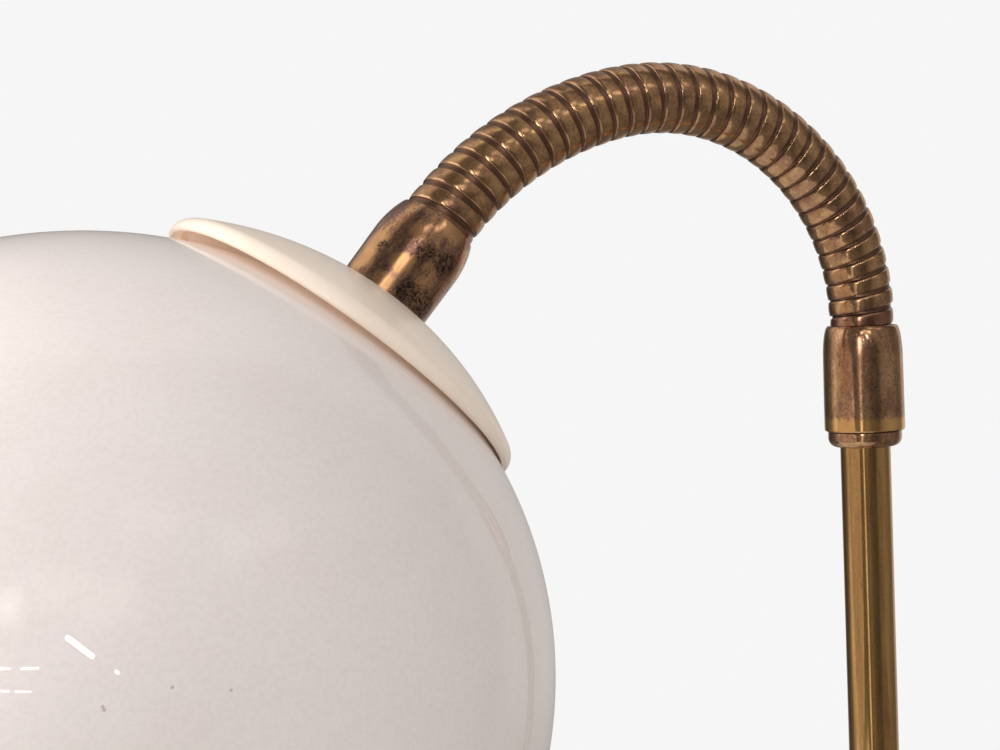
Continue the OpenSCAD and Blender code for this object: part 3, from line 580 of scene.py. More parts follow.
class Skin(Graph):
    """The graph of one material, with the colour that is laid on so far."""

    def __init__(self, material: bpy.types.Material, colour: Colour) -> None:
        """Opens a new material with its ground colour.

        Args:
            material: The material.
            colour: Its ground colour.
        """
        material.use_nodes = True
        super().__init__(material.node_tree)
        self.shader = next(n for n in self.tree.nodes if n.type == "BSDF_PRINCIPLED")
        self.where = self.value("TexCoord", {}, "Object")
        self.colour: object = colour

    def lay(self, mask: object, colour: Colour) -> None:
        """Lays a colour over the others, by a mask."""
        self.colour = self.mix(mask, self.colour, colour)

    def effect(self, effect: Effect, vector: Value, **inputs: object) -> list[Value]:
        """Places a shared effect.

        Args:
            effect: The effect.
            vector: Coordinates.
            inputs: What its value inputs are fed.

        Returns:
            Its outputs in their order.
        """
        sources = {"Vector": vector} | {key.capitalize(): source for key, source in inputs.items()}
        node = self.add("Group", node_tree=Effects.get(effect))
        for key, source in sources.items():
            self.feed(node.inputs[key], source)
        return [Value(self, socket) for socket in node.outputs]

    def spot(self, fine: Value, place: Place) -> Value:
        """Marks a ragged place on a surface.

        Args:
            fine: Noise that makes the edge ragged.
            place: Its x, y, z and reach, in metres.

        Returns:
            A mask that is one at the middle.
        """
        *at, reach = place
        away = self.value("VectorMath", {0: self.where, 1: tuple(at)}, "Value", operation="DISTANCE")
        return (away + (fine - 0.5) * reach).span(reach * 0.55, reach * 1.15, 1.0, 0.0)

    def finish(self, **inputs: object) -> None:
        """Feeds the shader's own sockets, and the colour to its base."""
        for key, source in (inputs | {"base_color": self.colour}).items():
            self.feed(self.shader.inputs[key.replace("_", " ").title()], source)


# Finishes


@dataclass(frozen=True)
class Finish:
    """A finish, which builds its material once."""

    name: str
    colour: Colour = (0.64, 0.38, 0.135)

    def material(self) -> bpy.types.Material:
        """Finds the material, or builds it.

        Returns:
            The material.
        """
        found = bpy.data.materials.get(self.name)
        if not found:
            found = bpy.data.materials.new(self.name)
            self.paint(Skin(found, self.colour))
        return found

    def paint(self, skin: Skin) -> None:
        """Adds the finish's own nodes to its material; each kind of finish has its own."""
        raise NotImplementedError


@dataclass(frozen=True)
class OldBrass(Finish):
    """Brass with a brown patina, dark pits and rubbed golden places."""

    brown: Colour = (0.42, 0.215, 0.090)
    dark: Colour = (0.075, 0.045, 0.036)
    rubbed: Colour = (0.84, 0.60, 0.30)
    cover: float = 0.4
    pits: float = 0.4
    rub: float = 0.3
    scale: float = 130.0
    shine: float = 0.10
    dullness: float = 0.07
    stretch: float = 0.35
    turn: float = 0.0
    relief: float = 0.01
    mottle: float = 0.0
    coat: float = 0.2

    def paint(self, skin: Skin) -> None:
        """Lays patina, pits, rubbed streaks and scratches over the brass.

        Args:
            skin: The graph of the material.
        """
        long = skin.moved(skin.where, (1, 1, self.stretch), self.turn)
        cloud, fine, pit = skin.effect(
            Effect.TARNISH, long, scale=self.scale, cover=self.cover, pits=self.pits
        )
        (marks,) = skin.effect(Effect.SCRATCHES, long, scale=self.scale * 2.2, amount=0.7)
        rub = skin.noise(long, self.scale * 0.5, 3.0).span(0.56, 0.72) * fine.span(0.42, 0.62)
        grain = skin.noise(skin.where, self.scale * 12, 2.0, 0.6)
        skin.lay(cloud, self.brown)
        skin.lay(fine.span(0.35, 0.75, 0.0, 0.45), self.brown)
        skin.lay(rub * self.rub, self.rubbed)
        skin.lay(grain.span(0.52, 0.66, 0.0, self.mottle * 0.6), self.rubbed)
        skin.lay(grain.span(0.34, 0.48, self.mottle, 0.0), self.dark)
        skin.lay(marks * 0.5, self.rubbed)
        skin.lay(pit * 0.8, self.dark)
        wear = self.worked(skin, fine)
        rough = self.shine + cloud * self.dullness + fine * 0.05 + pit * 0.2
        height = fine * 0.6 + pit * -0.8 - marks * 0.5
        skin.finish(
            metallic=1.0, coat_weight=self.coat, coat_roughness=0.12, roughness=rough - wear,
            normal=skin.bump(height, self.relief)
        )

    def worked(self, skin: Skin, fine: Value) -> object:
        """Adds wear of one part alone, and returns how much smoother it is; here there is none."""
        return 0.0


@dataclass(frozen=True)
class PittedBrass(OldBrass):
    """Brass that is eaten into dark pits and cracks at some places and polished at others."""

    eaten: tuple[Place, ...] = ()
    polished: tuple[Place, ...] = ()
    polish: Colour = (0.90, 0.50, 0.23)
    crack: Colour = (0.02, 0.014, 0.012)

    def worked(self, skin: Skin, fine: Value) -> object:
        """Cracks the eaten places and brightens the polished ones.

        Args:
            skin: The material so far.
            fine: Fine noise of the finish.

        Returns:
            How much smoother the wear makes the surface.
        """
        (cracks,) = skin.effect(Effect.CRACKS, skin.where, scale=620.0, share=0.7)
        wear = 0.0
        for place in self.polished:
            bright = skin.spot(fine, place)
            skin.lay(bright * 0.7, self.polish)
            wear = wear + bright * 0.04
        for place in self.eaten:
            near = skin.spot(fine, place)
            skin.lay(near * 0.45, self.dark)
            skin.lay(near * cracks * 0.95, self.crack)
            wear = wear - near * 0.12
        return wear


@dataclass(frozen=True)
class BandedBrass(OldBrass):
    """Brass with a belt that is rubbed clean, between two heights in metres."""

    belt_low: float = 0.2625
    belt_high: float = 0.2660
    belt: Colour = (0.98, 0.56, 0.20)

    def worked(self, skin: Skin, fine: Value) -> object:
        """Rubs the belt clean, with an uneven upper edge.

        Args:
            skin: The material so far.
            fine: Fine noise of the finish.

        Returns:
            How much smoother the wear makes the surface.
        """
        level = skin.value("SeparateXYZ", {0: skin.where}, 2)
        height = level + (fine - 0.5) * 0.0040
        above = height.span(self.belt_low - 0.0002, self.belt_low + 0.0002)
        belt = above * height.span(self.belt_high - 0.0008, self.belt_high + 0.0006, 1.0, 0.0)
        skin.lay(belt * 0.8, self.belt)
        skin.lay(abs(level - self.belt_low).span(0.0001, 0.0004, 0.8, 0.0), self.dark)
        return belt * 0.03


@dataclass(frozen=True)
class StripBrass(OldBrass):
    """Brass of the wound strip: lips brightened as rubbed wear and partly as a painted highlight, painted
    shade on the lips away from the outer side of the bend, and dirt and painted shade in the grooves.
    """

    # Colour of the dirt in the grooves, also used for painted shade.
    dirt_and_shade: Colour = (0.15, 0.08, 0.06)
    # Colour of the lips: rubbed brass, and partly a painted highlight.
    lip: Colour = (0.70, 0.47, 0.35)

    def worked(self, skin: Skin, fine: Value) -> object:
        """Brightens the lips as rubbed wear and partly as a painted highlight, paints shade on the lips away
        from the outer side of the bend, and darkens the grooves with dirt and painted shade, by the strip's
        own attributes.

        Args:
            skin: The material so far.
            fine: Fine noise of the finish.

        Returns:
            How much smoother the wear makes the surface.
        """
        lip, groove, painted_lip_shade = (skin.attribute(key) for key in ("lip", "groove", "painted_lip_shade"))
        # Lips are painted brighter, partly as rubbed wear and partly as a painted highlight, except where
        # they get painted shade.
        lip_wear_and_highlight = (lip - painted_lip_shade) * fine.span(0.3, 0.6, 0.35, 1.0)
        skin.lay(lip_wear_and_highlight * 0.35, self.lip)
        # Painted shade on the lips away from the outer side of the bend, and dirt and painted shade in the
        # grooves.
        skin.lay(painted_lip_shade * 0.7, self.dirt_and_shade)
        skin.lay(groove * 0.85, self.dirt_and_shade)
        return lip_wear_and_highlight * 0.06 - groove * 0.2


@dataclass(frozen=True)
class Paint(Finish):
    """Sprayed lacquer or enamel with a faint unevenness, dust, specks, marks and a painted glow of bounce
    light in the crevice under the cap's rim.
    """

    shade: Colour = (0.85, 0.763, 0.733)
    speck: Colour = (0.25, 0.17, 0.13)
    roughness: float = 0.3
    coat: float = 0.4
    share: float = 0.05
    speck_scale: float = 55.0
    relief: float = 0.003
    grit: float = 0.0
    coat_roughness: float = 0.03
    marks: tuple[Place, ...] = ()
    # Colour of the painted glow of bounce light in the crevice under the cap's rim.
    painted_bounce_glow: Colour = (0.0, 0.0, 0.0)

    def paint(self, skin: Skin) -> None:
        """Lays soft colour changes, specks, an orange peel and a painted glow of bounce light under the cap's
        rim.

        Args:
            skin: The graph of the material.
        """
        fine, soft = skin.effect(Effect.GRAIN, skin.where, scale=1100.0)
        (specks,) = skin.effect(
            Effect.SPECKS, skin.where, scale=self.speck_scale, size=0.05, share=self.share
        )
        skin.lay(soft.span(0.35, 0.7), self.shade)
        skin.lay(specks * 0.8, self.speck)
        skin.lay(fine.span(0.42, 0.62, 0.0, self.grit), self.speck)
        for place in self.marks:
            skin.lay(skin.spot(fine, place) * 0.5, self.speck)
        # The emission paints a glow of bounce light into the crevice under the cap's rim, where the cap
        # shades the globe.
        skin.finish(
            emission_color=skin.mix(skin.attribute("tucked"), (0.0, 0.0, 0.0), self.painted_bounce_glow),
            emission_strength=1.0, roughness=self.roughness + fine.span(0.3, 0.8) * 0.05,
            coat_weight=self.coat, coat_roughness=self.coat_roughness,
            normal=skin.bump(fine * 0.25 + soft + specks * 0.6, self.relief)
        )


@dataclass(frozen=True)
class Moulded(Finish):
    """Moulded rubber, plastic, fibre or ceramic."""

    worn: Colour = (0.06, 0.055, 0.05)
    roughness: float = 0.6
    scale: float = 1500.0
    relief: float = 0.03
    coat: float = 0.0

    def paint(self, skin: Skin) -> None:
        """Lays a moulded grain, with wear where it is soft.

        Args:
            skin: The graph of the material.
        """
        fine, soft = skin.effect(Effect.GRAIN, skin.where, scale=self.scale)
        skin.lay(soft.span(0.45, 0.75, 0.0, 0.5), self.worn)
        skin.lay(fine.span(0.45, 0.8, 0.0, 0.3), self.worn)
        skin.finish(
            roughness=self.roughness - 0.05 + fine * 0.12, coat_weight=self.coat, coat_roughness=0.1,
            normal=skin.bump(fine, self.relief)
        )


@dataclass(frozen=True)
class PlatedSteel(Finish):
    """Zinc-plated or drawn steel with fine lines and a few dull clouds."""

    dull: Colour = (0.36, 0.34, 0.31)
    roughness: float = 0.28

    def paint(self, skin: Skin) -> None:
        """Lays fine lines and dull clouds over the metal.

        Args:
            skin: The graph of the material.
        """
        cloud, fine, pit = skin.effect(Effect.TARNISH, skin.where, scale=180.0, cover=0.35, pits=0.3)
        (marks,) = skin.effect(Effect.SCRATCHES, skin.where, scale=700.0, amount=0.6)
        skin.lay(cloud * 0.6, self.dull)
        skin.lay(pit, self.dull)
        skin.finish(
            metallic=1.0, roughness=self.roughness + cloud * 0.18 + marks * 0.1,
            normal=skin.bump(fine - marks, 0.01)
        )


@dataclass(frozen=True)
class OpalGlass(Finish):
    """Opal glass of the bulb, milky all through, with a faint dusting."""

    dust: Colour = (0.84, 0.82, 0.77)

    def paint(self, skin: Skin) -> None:
        """Lays a milky body with a faint dusting.

        Args:
            skin: The graph of the material.
        """
        fine, soft = skin.effect(Effect.GRAIN, skin.where, scale=500.0)
        skin.lay(soft, self.dust)
        skin.finish(roughness=fine.span(0.2, 0.9, 0.1, 0.2), coat_weight=0.5, normal=skin.bump(fine, 0.004))


STEM_BRASS = OldBrass("stem brass", cover=0.35, pits=0.3, rub=0.2, stretch=0.08, shine=0.07, mottle=0.12)
FERRULE_BRASS = BandedBrass(
    "ferrule brass", (0.68, 0.39, 0.20), (0.38, 0.20, 0.12), cover=0.5, pits=0.55, stretch=0.5, scale=150.0,
    shine=0.08, mottle=0.35
)
UPPER_BRASS = PittedBrass(
    "upper ferrule brass", (0.72, 0.39, 0.19), (0.29, 0.15, 0.12), cover=0.55, pits=0.8, stretch=0.4,
    scale=160.0, turn=140.25, shine=0.09, rub=0.35, mottle=0.4,
    eaten=(
        (-0.0865, -0.0098, 0.3093, 0.0024), (-0.0820, -0.0096, 0.3065, 0.0034),
        (-0.0911, -0.0099, 0.3013, 0.0030), (-0.0876, -0.0094, 0.2975, 0.0046),
        (-0.0940, -0.0055, 0.3105, 0.0018)
    ),
    polished=(
        (-0.0957, -0.0090, 0.3033, 0.0030), (-0.0919, -0.0093, 0.3073, 0.0026),
        (-0.0949, -0.0036, 0.3120, 0.0038), (-0.0981, -0.0030, 0.3085, 0.0036),
        (-0.0790, -0.0085, 0.3140, 0.0036), (-0.0905, -0.0085, 0.3075, 0.0022),
        (-0.0870, -0.0085, 0.3140, 0.0022)
    )
)
STRIP_BRASS = StripBrass(
    "strip brass", (0.66, 0.39, 0.19), (0.41, 0.22, 0.135), cover=0.45, stretch=1.0, scale=170.0, shine=0.11,
    rub=0.25, mottle=0.25, coat=0.03
)
CUFF_BRASS = StripBrass(
    "cuff brass", (0.50, 0.27, 0.15), (0.31, 0.15, 0.10), cover=0.6, pits=0.5, stretch=1.0, scale=170.0,
    rub=0.2
)
CLIP_BRASS = OldBrass("clip brass", pits=0.45, stretch=1.0, scale=90.0)
CONTACT_BRASS = OldBrass("contact brass", cover=0.2, pits=0.2, stretch=1.0, scale=200.0, shine=0.2)
STEEL = PlatedSteel("plated steel", (0.58, 0.57, 0.55))
BULB_METAL = PlatedSteel("bulb base metal", (0.72, 0.71, 0.69), (0.5, 0.49, 0.46), 0.22)
SHADE_LACQUER = Paint(
    "shade lacquer", (0.86, 0.778, 0.748), coat=0.65, grit=0.05, relief=0.0012, coat_roughness=0.01,
    painted_bounce_glow=(0.15, 0.108, 0.08),
    marks=(
        (-0.1710, -0.0872, 0.24005, 0.00028), (-0.17085, -0.0873, 0.2396, 0.00034),
        (-0.1609, -0.0882, 0.2417, 0.0003), (-0.1521, -0.0887, 0.2400, 0.0003)
    )
)
CAP_ENAMEL = Paint(
    "cap enamel", (0.95, 0.815, 0.685), (0.93, 0.785, 0.645), roughness=0.28, coat=0.25, share=0.03,
    relief=0.0007, grit=0.02, coat_roughness=0.08, painted_bounce_glow=(0.12, 0.086, 0.062)
)
HOLDER_PLASTIC = Moulded(
    "holder plastic", (0.74, 0.70, 0.62), (0.66, 0.61, 0.52), 0.3, relief=0.006, coat=0.2
)
BUTTON_PLASTIC = Moulded(
    "button plastic", (0.78, 0.74, 0.66), (0.6, 0.54, 0.45), 0.28, relief=0.004, coat=0.3
)
PAD_RUBBER = Moulded("pad rubber", (0.018, 0.017, 0.016), (0.05, 0.047, 0.044), 0.78)
SLEEVE_PLASTIC = Moulded("sleeve plastic", (0.022, 0.020, 0.019), roughness=0.5, relief=0.02)
BLACK_PLASTIC = Moulded(
    "black plastic", (0.012, 0.012, 0.012), (0.035, 0.033, 0.03), 0.3, relief=0.005, coat=0.2
)
CERAMIC = Moulded("ceramic", (0.83, 0.81, 0.76), (0.72, 0.69, 0.62), 0.2, 700.0, 0.008, 0.5)
FIBRE = Moulded("fibre", (0.20, 0.055, 0.03), (0.13, 0.035, 0.02), 0.7, 2200.0)
OPAL = OpalGlass("opal glass", (0.90, 0.89, 0.85))


# Sub-assemblies


@dataclass(frozen=True)
class Spine:
    """The gooseneck's centre line, counted in turns of the strip from the lower ferrule."""

    stem_x: float = 32.0
    start_z: float = 290.0
    turn_pitch: float = 4.59
    turns: int = 33
    hidden_turns: float = 1.5
    turn_steps: int = 20
    lower_turn_bend: float = 4.85
    upper_turn_bend: float = 3.2
    ease_turn: float = 21.0
    ease_span: float = 3.0

    def half_bend(self, step: int) -> float:
        """Works out half the bend of one step along the line.

        Args:
            step: Number of the step.

        Returns:
            The angle in degrees.
        """
        turn = (step + 0.5) / self.turn_steps - self.hidden_turns
        if not 0 <= turn <= self.turns:
            return 0.0
        eased = min(1.0, max(0.0, (turn - self.ease_turn) / self.ease_span + 0.5))
        bend = self.lower_turn_bend + (self.upper_turn_bend - self.lower_turn_bend) * eased
        return bend / self.turn_steps / 2

    def line(self) -> np.ndarray:
        """Follows the line step by step.

        Returns:
            One row of x, z and lean in degrees for each step.
        """
        length = self.turn_pitch / self.turn_steps
        x, z, lean = self.stem_x, self.start_z - self.hidden_turns * self.turn_pitch, 0.0
        rows = [(x, z, lean)]
        for step in range(int((self.turns + 2 * self.hidden_turns) * self.turn_steps)):
            half = self.half_bend(step)
            x -= length * sin(radians(lean + half))
            z += length * cos(radians(lean + half))
            lean += 2 * half
            rows.append((x, z, lean))
        return np.array(rows)

    def at(self, turn: np.ndarray) -> np.ndarray:
        """Returns x, z and lean at some places.

        Args:
            turn: Places on the neck, counted in turns.

        Returns:
            One row of x, z and lean for each place.
        """
        line = self.line()
        steps = (np.asarray(turn, float) + self.hidden_turns) * self.turn_steps
        return np.stack([np.interp(steps, np.arange(len(line)), line[:, k]) for k in range(3)], axis=-1)

    def head_matrix(self) -> Matrix:
        """Returns the place of the head: +Z runs from the neck's end towards the globe's mouth."""
        x, z, lean = self.at(self.turns)
        return raised(x, z) @ Matrix.Rotation(radians(-lean), 4, "Y")


@dataclass
class Gooseneck:
    """Strip-wound gooseneck: one link for every two turns, and the turns inside both ferrules."""

    spine: Spine
    neck_d: float = 16.4
    band_w: float = 3.6
    strip_t: float = 0.5
    strip_gap: float = 0.5
    tuck_l: float = 2.5
    crown: float = 0.14
    lip_r: float = 0.24
    shoulder_r: float = 0.34
    shelf_d: float = 0.55
    joint_turn: float = 0.5
    end_angle: float = 45.0
    end_gap: float = 2.5
    turn_steps: int = 72
    link_count: int = 16
    cuff_step: float = 0.25
    cuff_turns: float = 1.9
    upper_end_turns: float = 0.6

    def section(self) -> tuple[list[Point], list[float], list[float]]:
        """Draws the strip's section, counted along the neck from the middle of its band.

        Returns:
            The outline as radius and height, and for each point how much of a lip it is and how deep
            in the groove it lies.
        """
        outer = self.neck_d / 2
        half = self.band_w / 2
        under = outer - self.strip_t
        tuck = under - self.strip_gap
        tuck_under = tuck - self.strip_t
        shelf = outer - self.shelf_d
        shoulder_at = half - 0.05 - self.shoulder_r
        end_h = half + self.tuck_l
        inner_h = half - self.strip_t
        outline = arc(outer - self.crown - self.lip_r, -half + self.lip_r, self.lip_r, -180, -8, 7)
        band = np.linspace(-half + self.lip_r, shoulder_at, 8)
        outline += [(outer - self.crown * (h / half) ** 2, float(h)) for h in band]
        outline += arc(outer - self.crown - self.shoulder_r, shoulder_at, self.shoulder_r, 12, 82, 6)
        outline += [(shelf + 0.04, half + 0.02), (shelf, half + 0.14), (shelf, half + 1.3)]
        outline += [(tuck, half + 1.5), (tuck, end_h - 0.1), (tuck - 0.1, end_h), (tuck_under, end_h)]
        outline += [(tuck_under, half - 0.1), (tuck_under + 0.3, inner_h), (under - 0.06, inner_h - 0.2)]
        lips, grooves = [], []
        for r, h in outline:
            near_lead = max(0.0, 1 - abs(h + half - 0.1) / 0.3) if r > under - 0.2 else 0.0
            near_shoulder = max(0.0, 1 - abs(h - half + 0.2) / 0.26) if r > shelf + 0.1 else 0.0
            lips.append(max(near_lead, near_shoulder))
            grooves.append(min(1.0, max(0.0, (shelf + 0.28 - r) / 0.24)))
        return outline, lips, grooves

    def wound(self, turns: float) -> Piece:
        """Winds a straight run of the strip, with both ends closed.

        Args:
            turns: Length of the run in turns.

        Returns:
            The run, whose rings follow each other in the mesh's order.
        """
        outline, lips, grooves = self.section()
        piece = drawn_outline("strip", outline, True)
        winding = piece.modifiers.new("winding", "SCREW")
        winding.angle = 2 * pi * turns
        winding.screw_offset = turns * self.spine.turn_pitch * MM
        winding.steps = winding.render_steps = round(turns * self.turn_steps)
        winding.use_merge_vertices = False
        winding.use_smooth_shade = False
        bpy.ops.object.modifier_apply(modifier=winding.name)
        count = len(piece.data.vertices) // len(outline)
        mark(piece, "lip", np.tile(lips, count))
        mark(piece, "groove", np.tile(grooves, count))
        with editing("EDGE", "DESELECT"):
            bpy.ops.mesh.select_non_manifold(
                extend=False, use_wire=False, use_multi_face=False, use_non_contiguous=False, use_verts=False
            )
            bpy.ops.mesh.fill_holes(sides=0)
        return piece

    def bent(self, straight: Piece, name: str, start: float, end: float, step_in: float = 0.0) -> Piece:
        """Copies a straight run and lays its rings along the neck.

        Args:
            straight: The run to copy.
            name: Name of the new piece.
            start: Place of its first ring, in turns.
            end: Place of its last ring, in turns.
            step_in: How much smaller its radius is, in millimetres.

        Returns:
            The bent run.
        """
        piece = copied(straight, name)
        outline, lips, _ = self.section()
        turn = np.linspace(start, end, len(piece.data.vertices) // len(outline))
        turn[0] += self.end_gap / 360
        turn[-1] -= self.end_gap / 360
        x, z, lean = (self.spine.at(turn)[:, k, None] for k in range(3))
        lean = np.radians(lean)
        around = np.radians(self.end_angle + 360 * (turn - self.joint_turn))[:, None]
        r, h = np.array(outline).T[:, None, :]
        r = r - step_in
        side = r * np.cos(around)
        rings = np.stack(
            [
                x + side * np.cos(lean) - h * np.sin(lean),
                r * np.sin(around),
                z + side * np.sin(lean) + h * np.cos(lean),
            ],
            axis=-1,
        )
        piece.data.vertices.foreach_set("co", (rings * MM).reshape(-1))
        piece.data.update()
        # Painted shade: lips that lie away from the outer side of the bend are marked to be painted darker.
        mark(piece, "painted_lip_shade", np.clip((0.3 - np.cos(around)) / 0.5, 0, 1) * np.array(lips))
        pick(piece)
        with editing():
            bpy.ops.mesh.normals_make_consistent(inside=False)
        bpy.ops.object.shade_smooth_by_angle(angle=radians(40))
        return piece

    def build(self) -> None:
        """Winds the strip once, and lays a copy of it at each link and inside each ferrule."""
        straight = self.wound(2)
        for i in range(self.link_count):
            start = self.joint_turn + 2 * i
            piece = self.bent(straight, f"neck_turns_{i + 1:02d}", start, start + 2)
            dressed(piece, f"link_{i + 1:02d}", "neck_brass", STRIP_BRASS, f"neck_link_{i + 1:02d}")
        first, last = self.joint_turn, self.spine.turns - self.joint_turn
        below = self.bent(straight, "neck_turns_below", first - self.cuff_turns, first, self.cuff_step)
        dressed(below, "stem", "neck_brass", CUFF_BRASS, "neck_end_lower")
        end = self.spine.turns + self.joint_turn + self.upper_end_turns
        above = self.bent(straight, "neck_turns_above", last, end)
        dressed(above, "head", "neck_brass", CUFF_BRASS, "neck_end_upper")
        bpy.data.objects.remove(straight)


@dataclass
class Stem:
    """Stem tube with its ring, lower ferrule and retaining collar."""

    spine: Spine
    stem_d: float = 12.7
    stem_wall: float = 1.0
    broken_edge: float = 0.3
    neck_socket_l: float = 9.58
    ferrule_web: float = 2.0
    ferrule_d: float = 20.3
    ferrule_l: float = 27.5
    ferrule_drop: float = 1.1
    shoulder_h: float = 8.0
    ring_d: float = 18.6
    ring_h: float = 4.0
    ring_lower_r: float = 2.2
    ring_upper_r: float = 0.35
    neck_fit: float = 0.25
    neck_d: float = 16.4
    cable_hole_d: float = 8.0

    def build(self) -> None:
        """Turns the tube, the ferrule and the ring."""
        low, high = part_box("stem_tube")
        for name, outline, steps, height, slot, finish, node in (
            ("stem_pipe", self.tube((high.z - low.z) / MM), 96, low.z / MM, "brass", STEM_BRASS, "stem_tube"),
            (
                "ferrule_below_neck", self.lower_ferrule(), 128, self.spine.start_z - self.ferrule_l,
                "aged_brass", FERRULE_BRASS, "lower_ferrule",
            ),
            (
                "ring_under_ferrule", self.ring(), 128, self.spine.start_z - self.ferrule_l - self.ring_h,
                "aged_brass", FERRULE_BRASS, "ferrule_ring",
            ),
        ):
            piece = placed(turned(name, outline, steps), raised(self.spine.stem_x, height))
            dressed(piece, "stem", slot, finish, node)
        fittings(("stem_stop_collar", "stem_collar", "stem", "steel", STEEL, 0.25))

    def tube(self, height: float) -> list[Point]:
        """Draws the stem tube, with its ends broken.

        Args:
            height: Length of the tube in millimetres.

        Returns:
            The outline as radius and height.
        """
        r = self.stem_d / 2
        inner = r - self.stem_wall
        edge = self.broken_edge
        outline = [(inner + edge, 0), (r - edge, 0)]
        outline += [(r, float(z)) for z in np.linspace(edge, height - edge, 24)]
        return outline + [(r - edge, height), (inner + edge, height), (inner, height - edge), (inner, edge)]

    def lower_ferrule(self) -> list[Point]:
        """Draws the lower ferrule: a faint waist below a rounded shoulder.

        Returns:
            The outline as radius and height.
        """
        top = self.ferrule_l - self.ferrule_drop
        base_r = self.ferrule_d / 2
        top_r = base_r - 0.1
        socket_r = self.neck_d / 2 + self.neck_fit
        lip_r = socket_r + 0.15
        stem_r = self.stem_d / 2
        cable_r = self.cable_hole_d / 2
        web_top = self.ferrule_l - self.neck_socket_l
        web_bottom = web_top - self.ferrule_web
        outline = [(stem_r, 0.0), (base_r - 0.55, 0.0)] + arc(base_r - 0.5, 0.5, 0.5, -80, 0, 5)
        for t in (i / 14 for i in range(1, 15)):
            outline.append((base_r + (top_r - base_r) * t * t, 1 + (top - self.shoulder_h - 1) * t))
        for a in (radians(90 * i / 24) for i in range(1, 25)):
            outline.append((lip_r + (top_r - lip_r) * cos(a), top + self.shoulder_h * (sin(a) - 1)))
        outline += [(socket_r, top - 0.1), (socket_r, web_top), (cable_r, web_top)]
        return outline + [(cable_r, web_bottom), (stem_r, web_bottom)]

    def ring(self) -> list[Point]:
        """Draws the low ring under the ferrule, rounded underneath.

        Returns:
            The outline as radius and height.
        """
        stem_r = self.stem_d / 2
        low, up = self.ring_lower_r, self.ring_upper_r
        outline = [(stem_r, 0.0)] + arc(self.ring_d / 2 - low, low, low, -90, 0, 12)
        return outline + arc(self.ring_d / 2 - up, self.ring_h - up, up, 0, 90, 5) + [(stem_r, self.ring_h)]


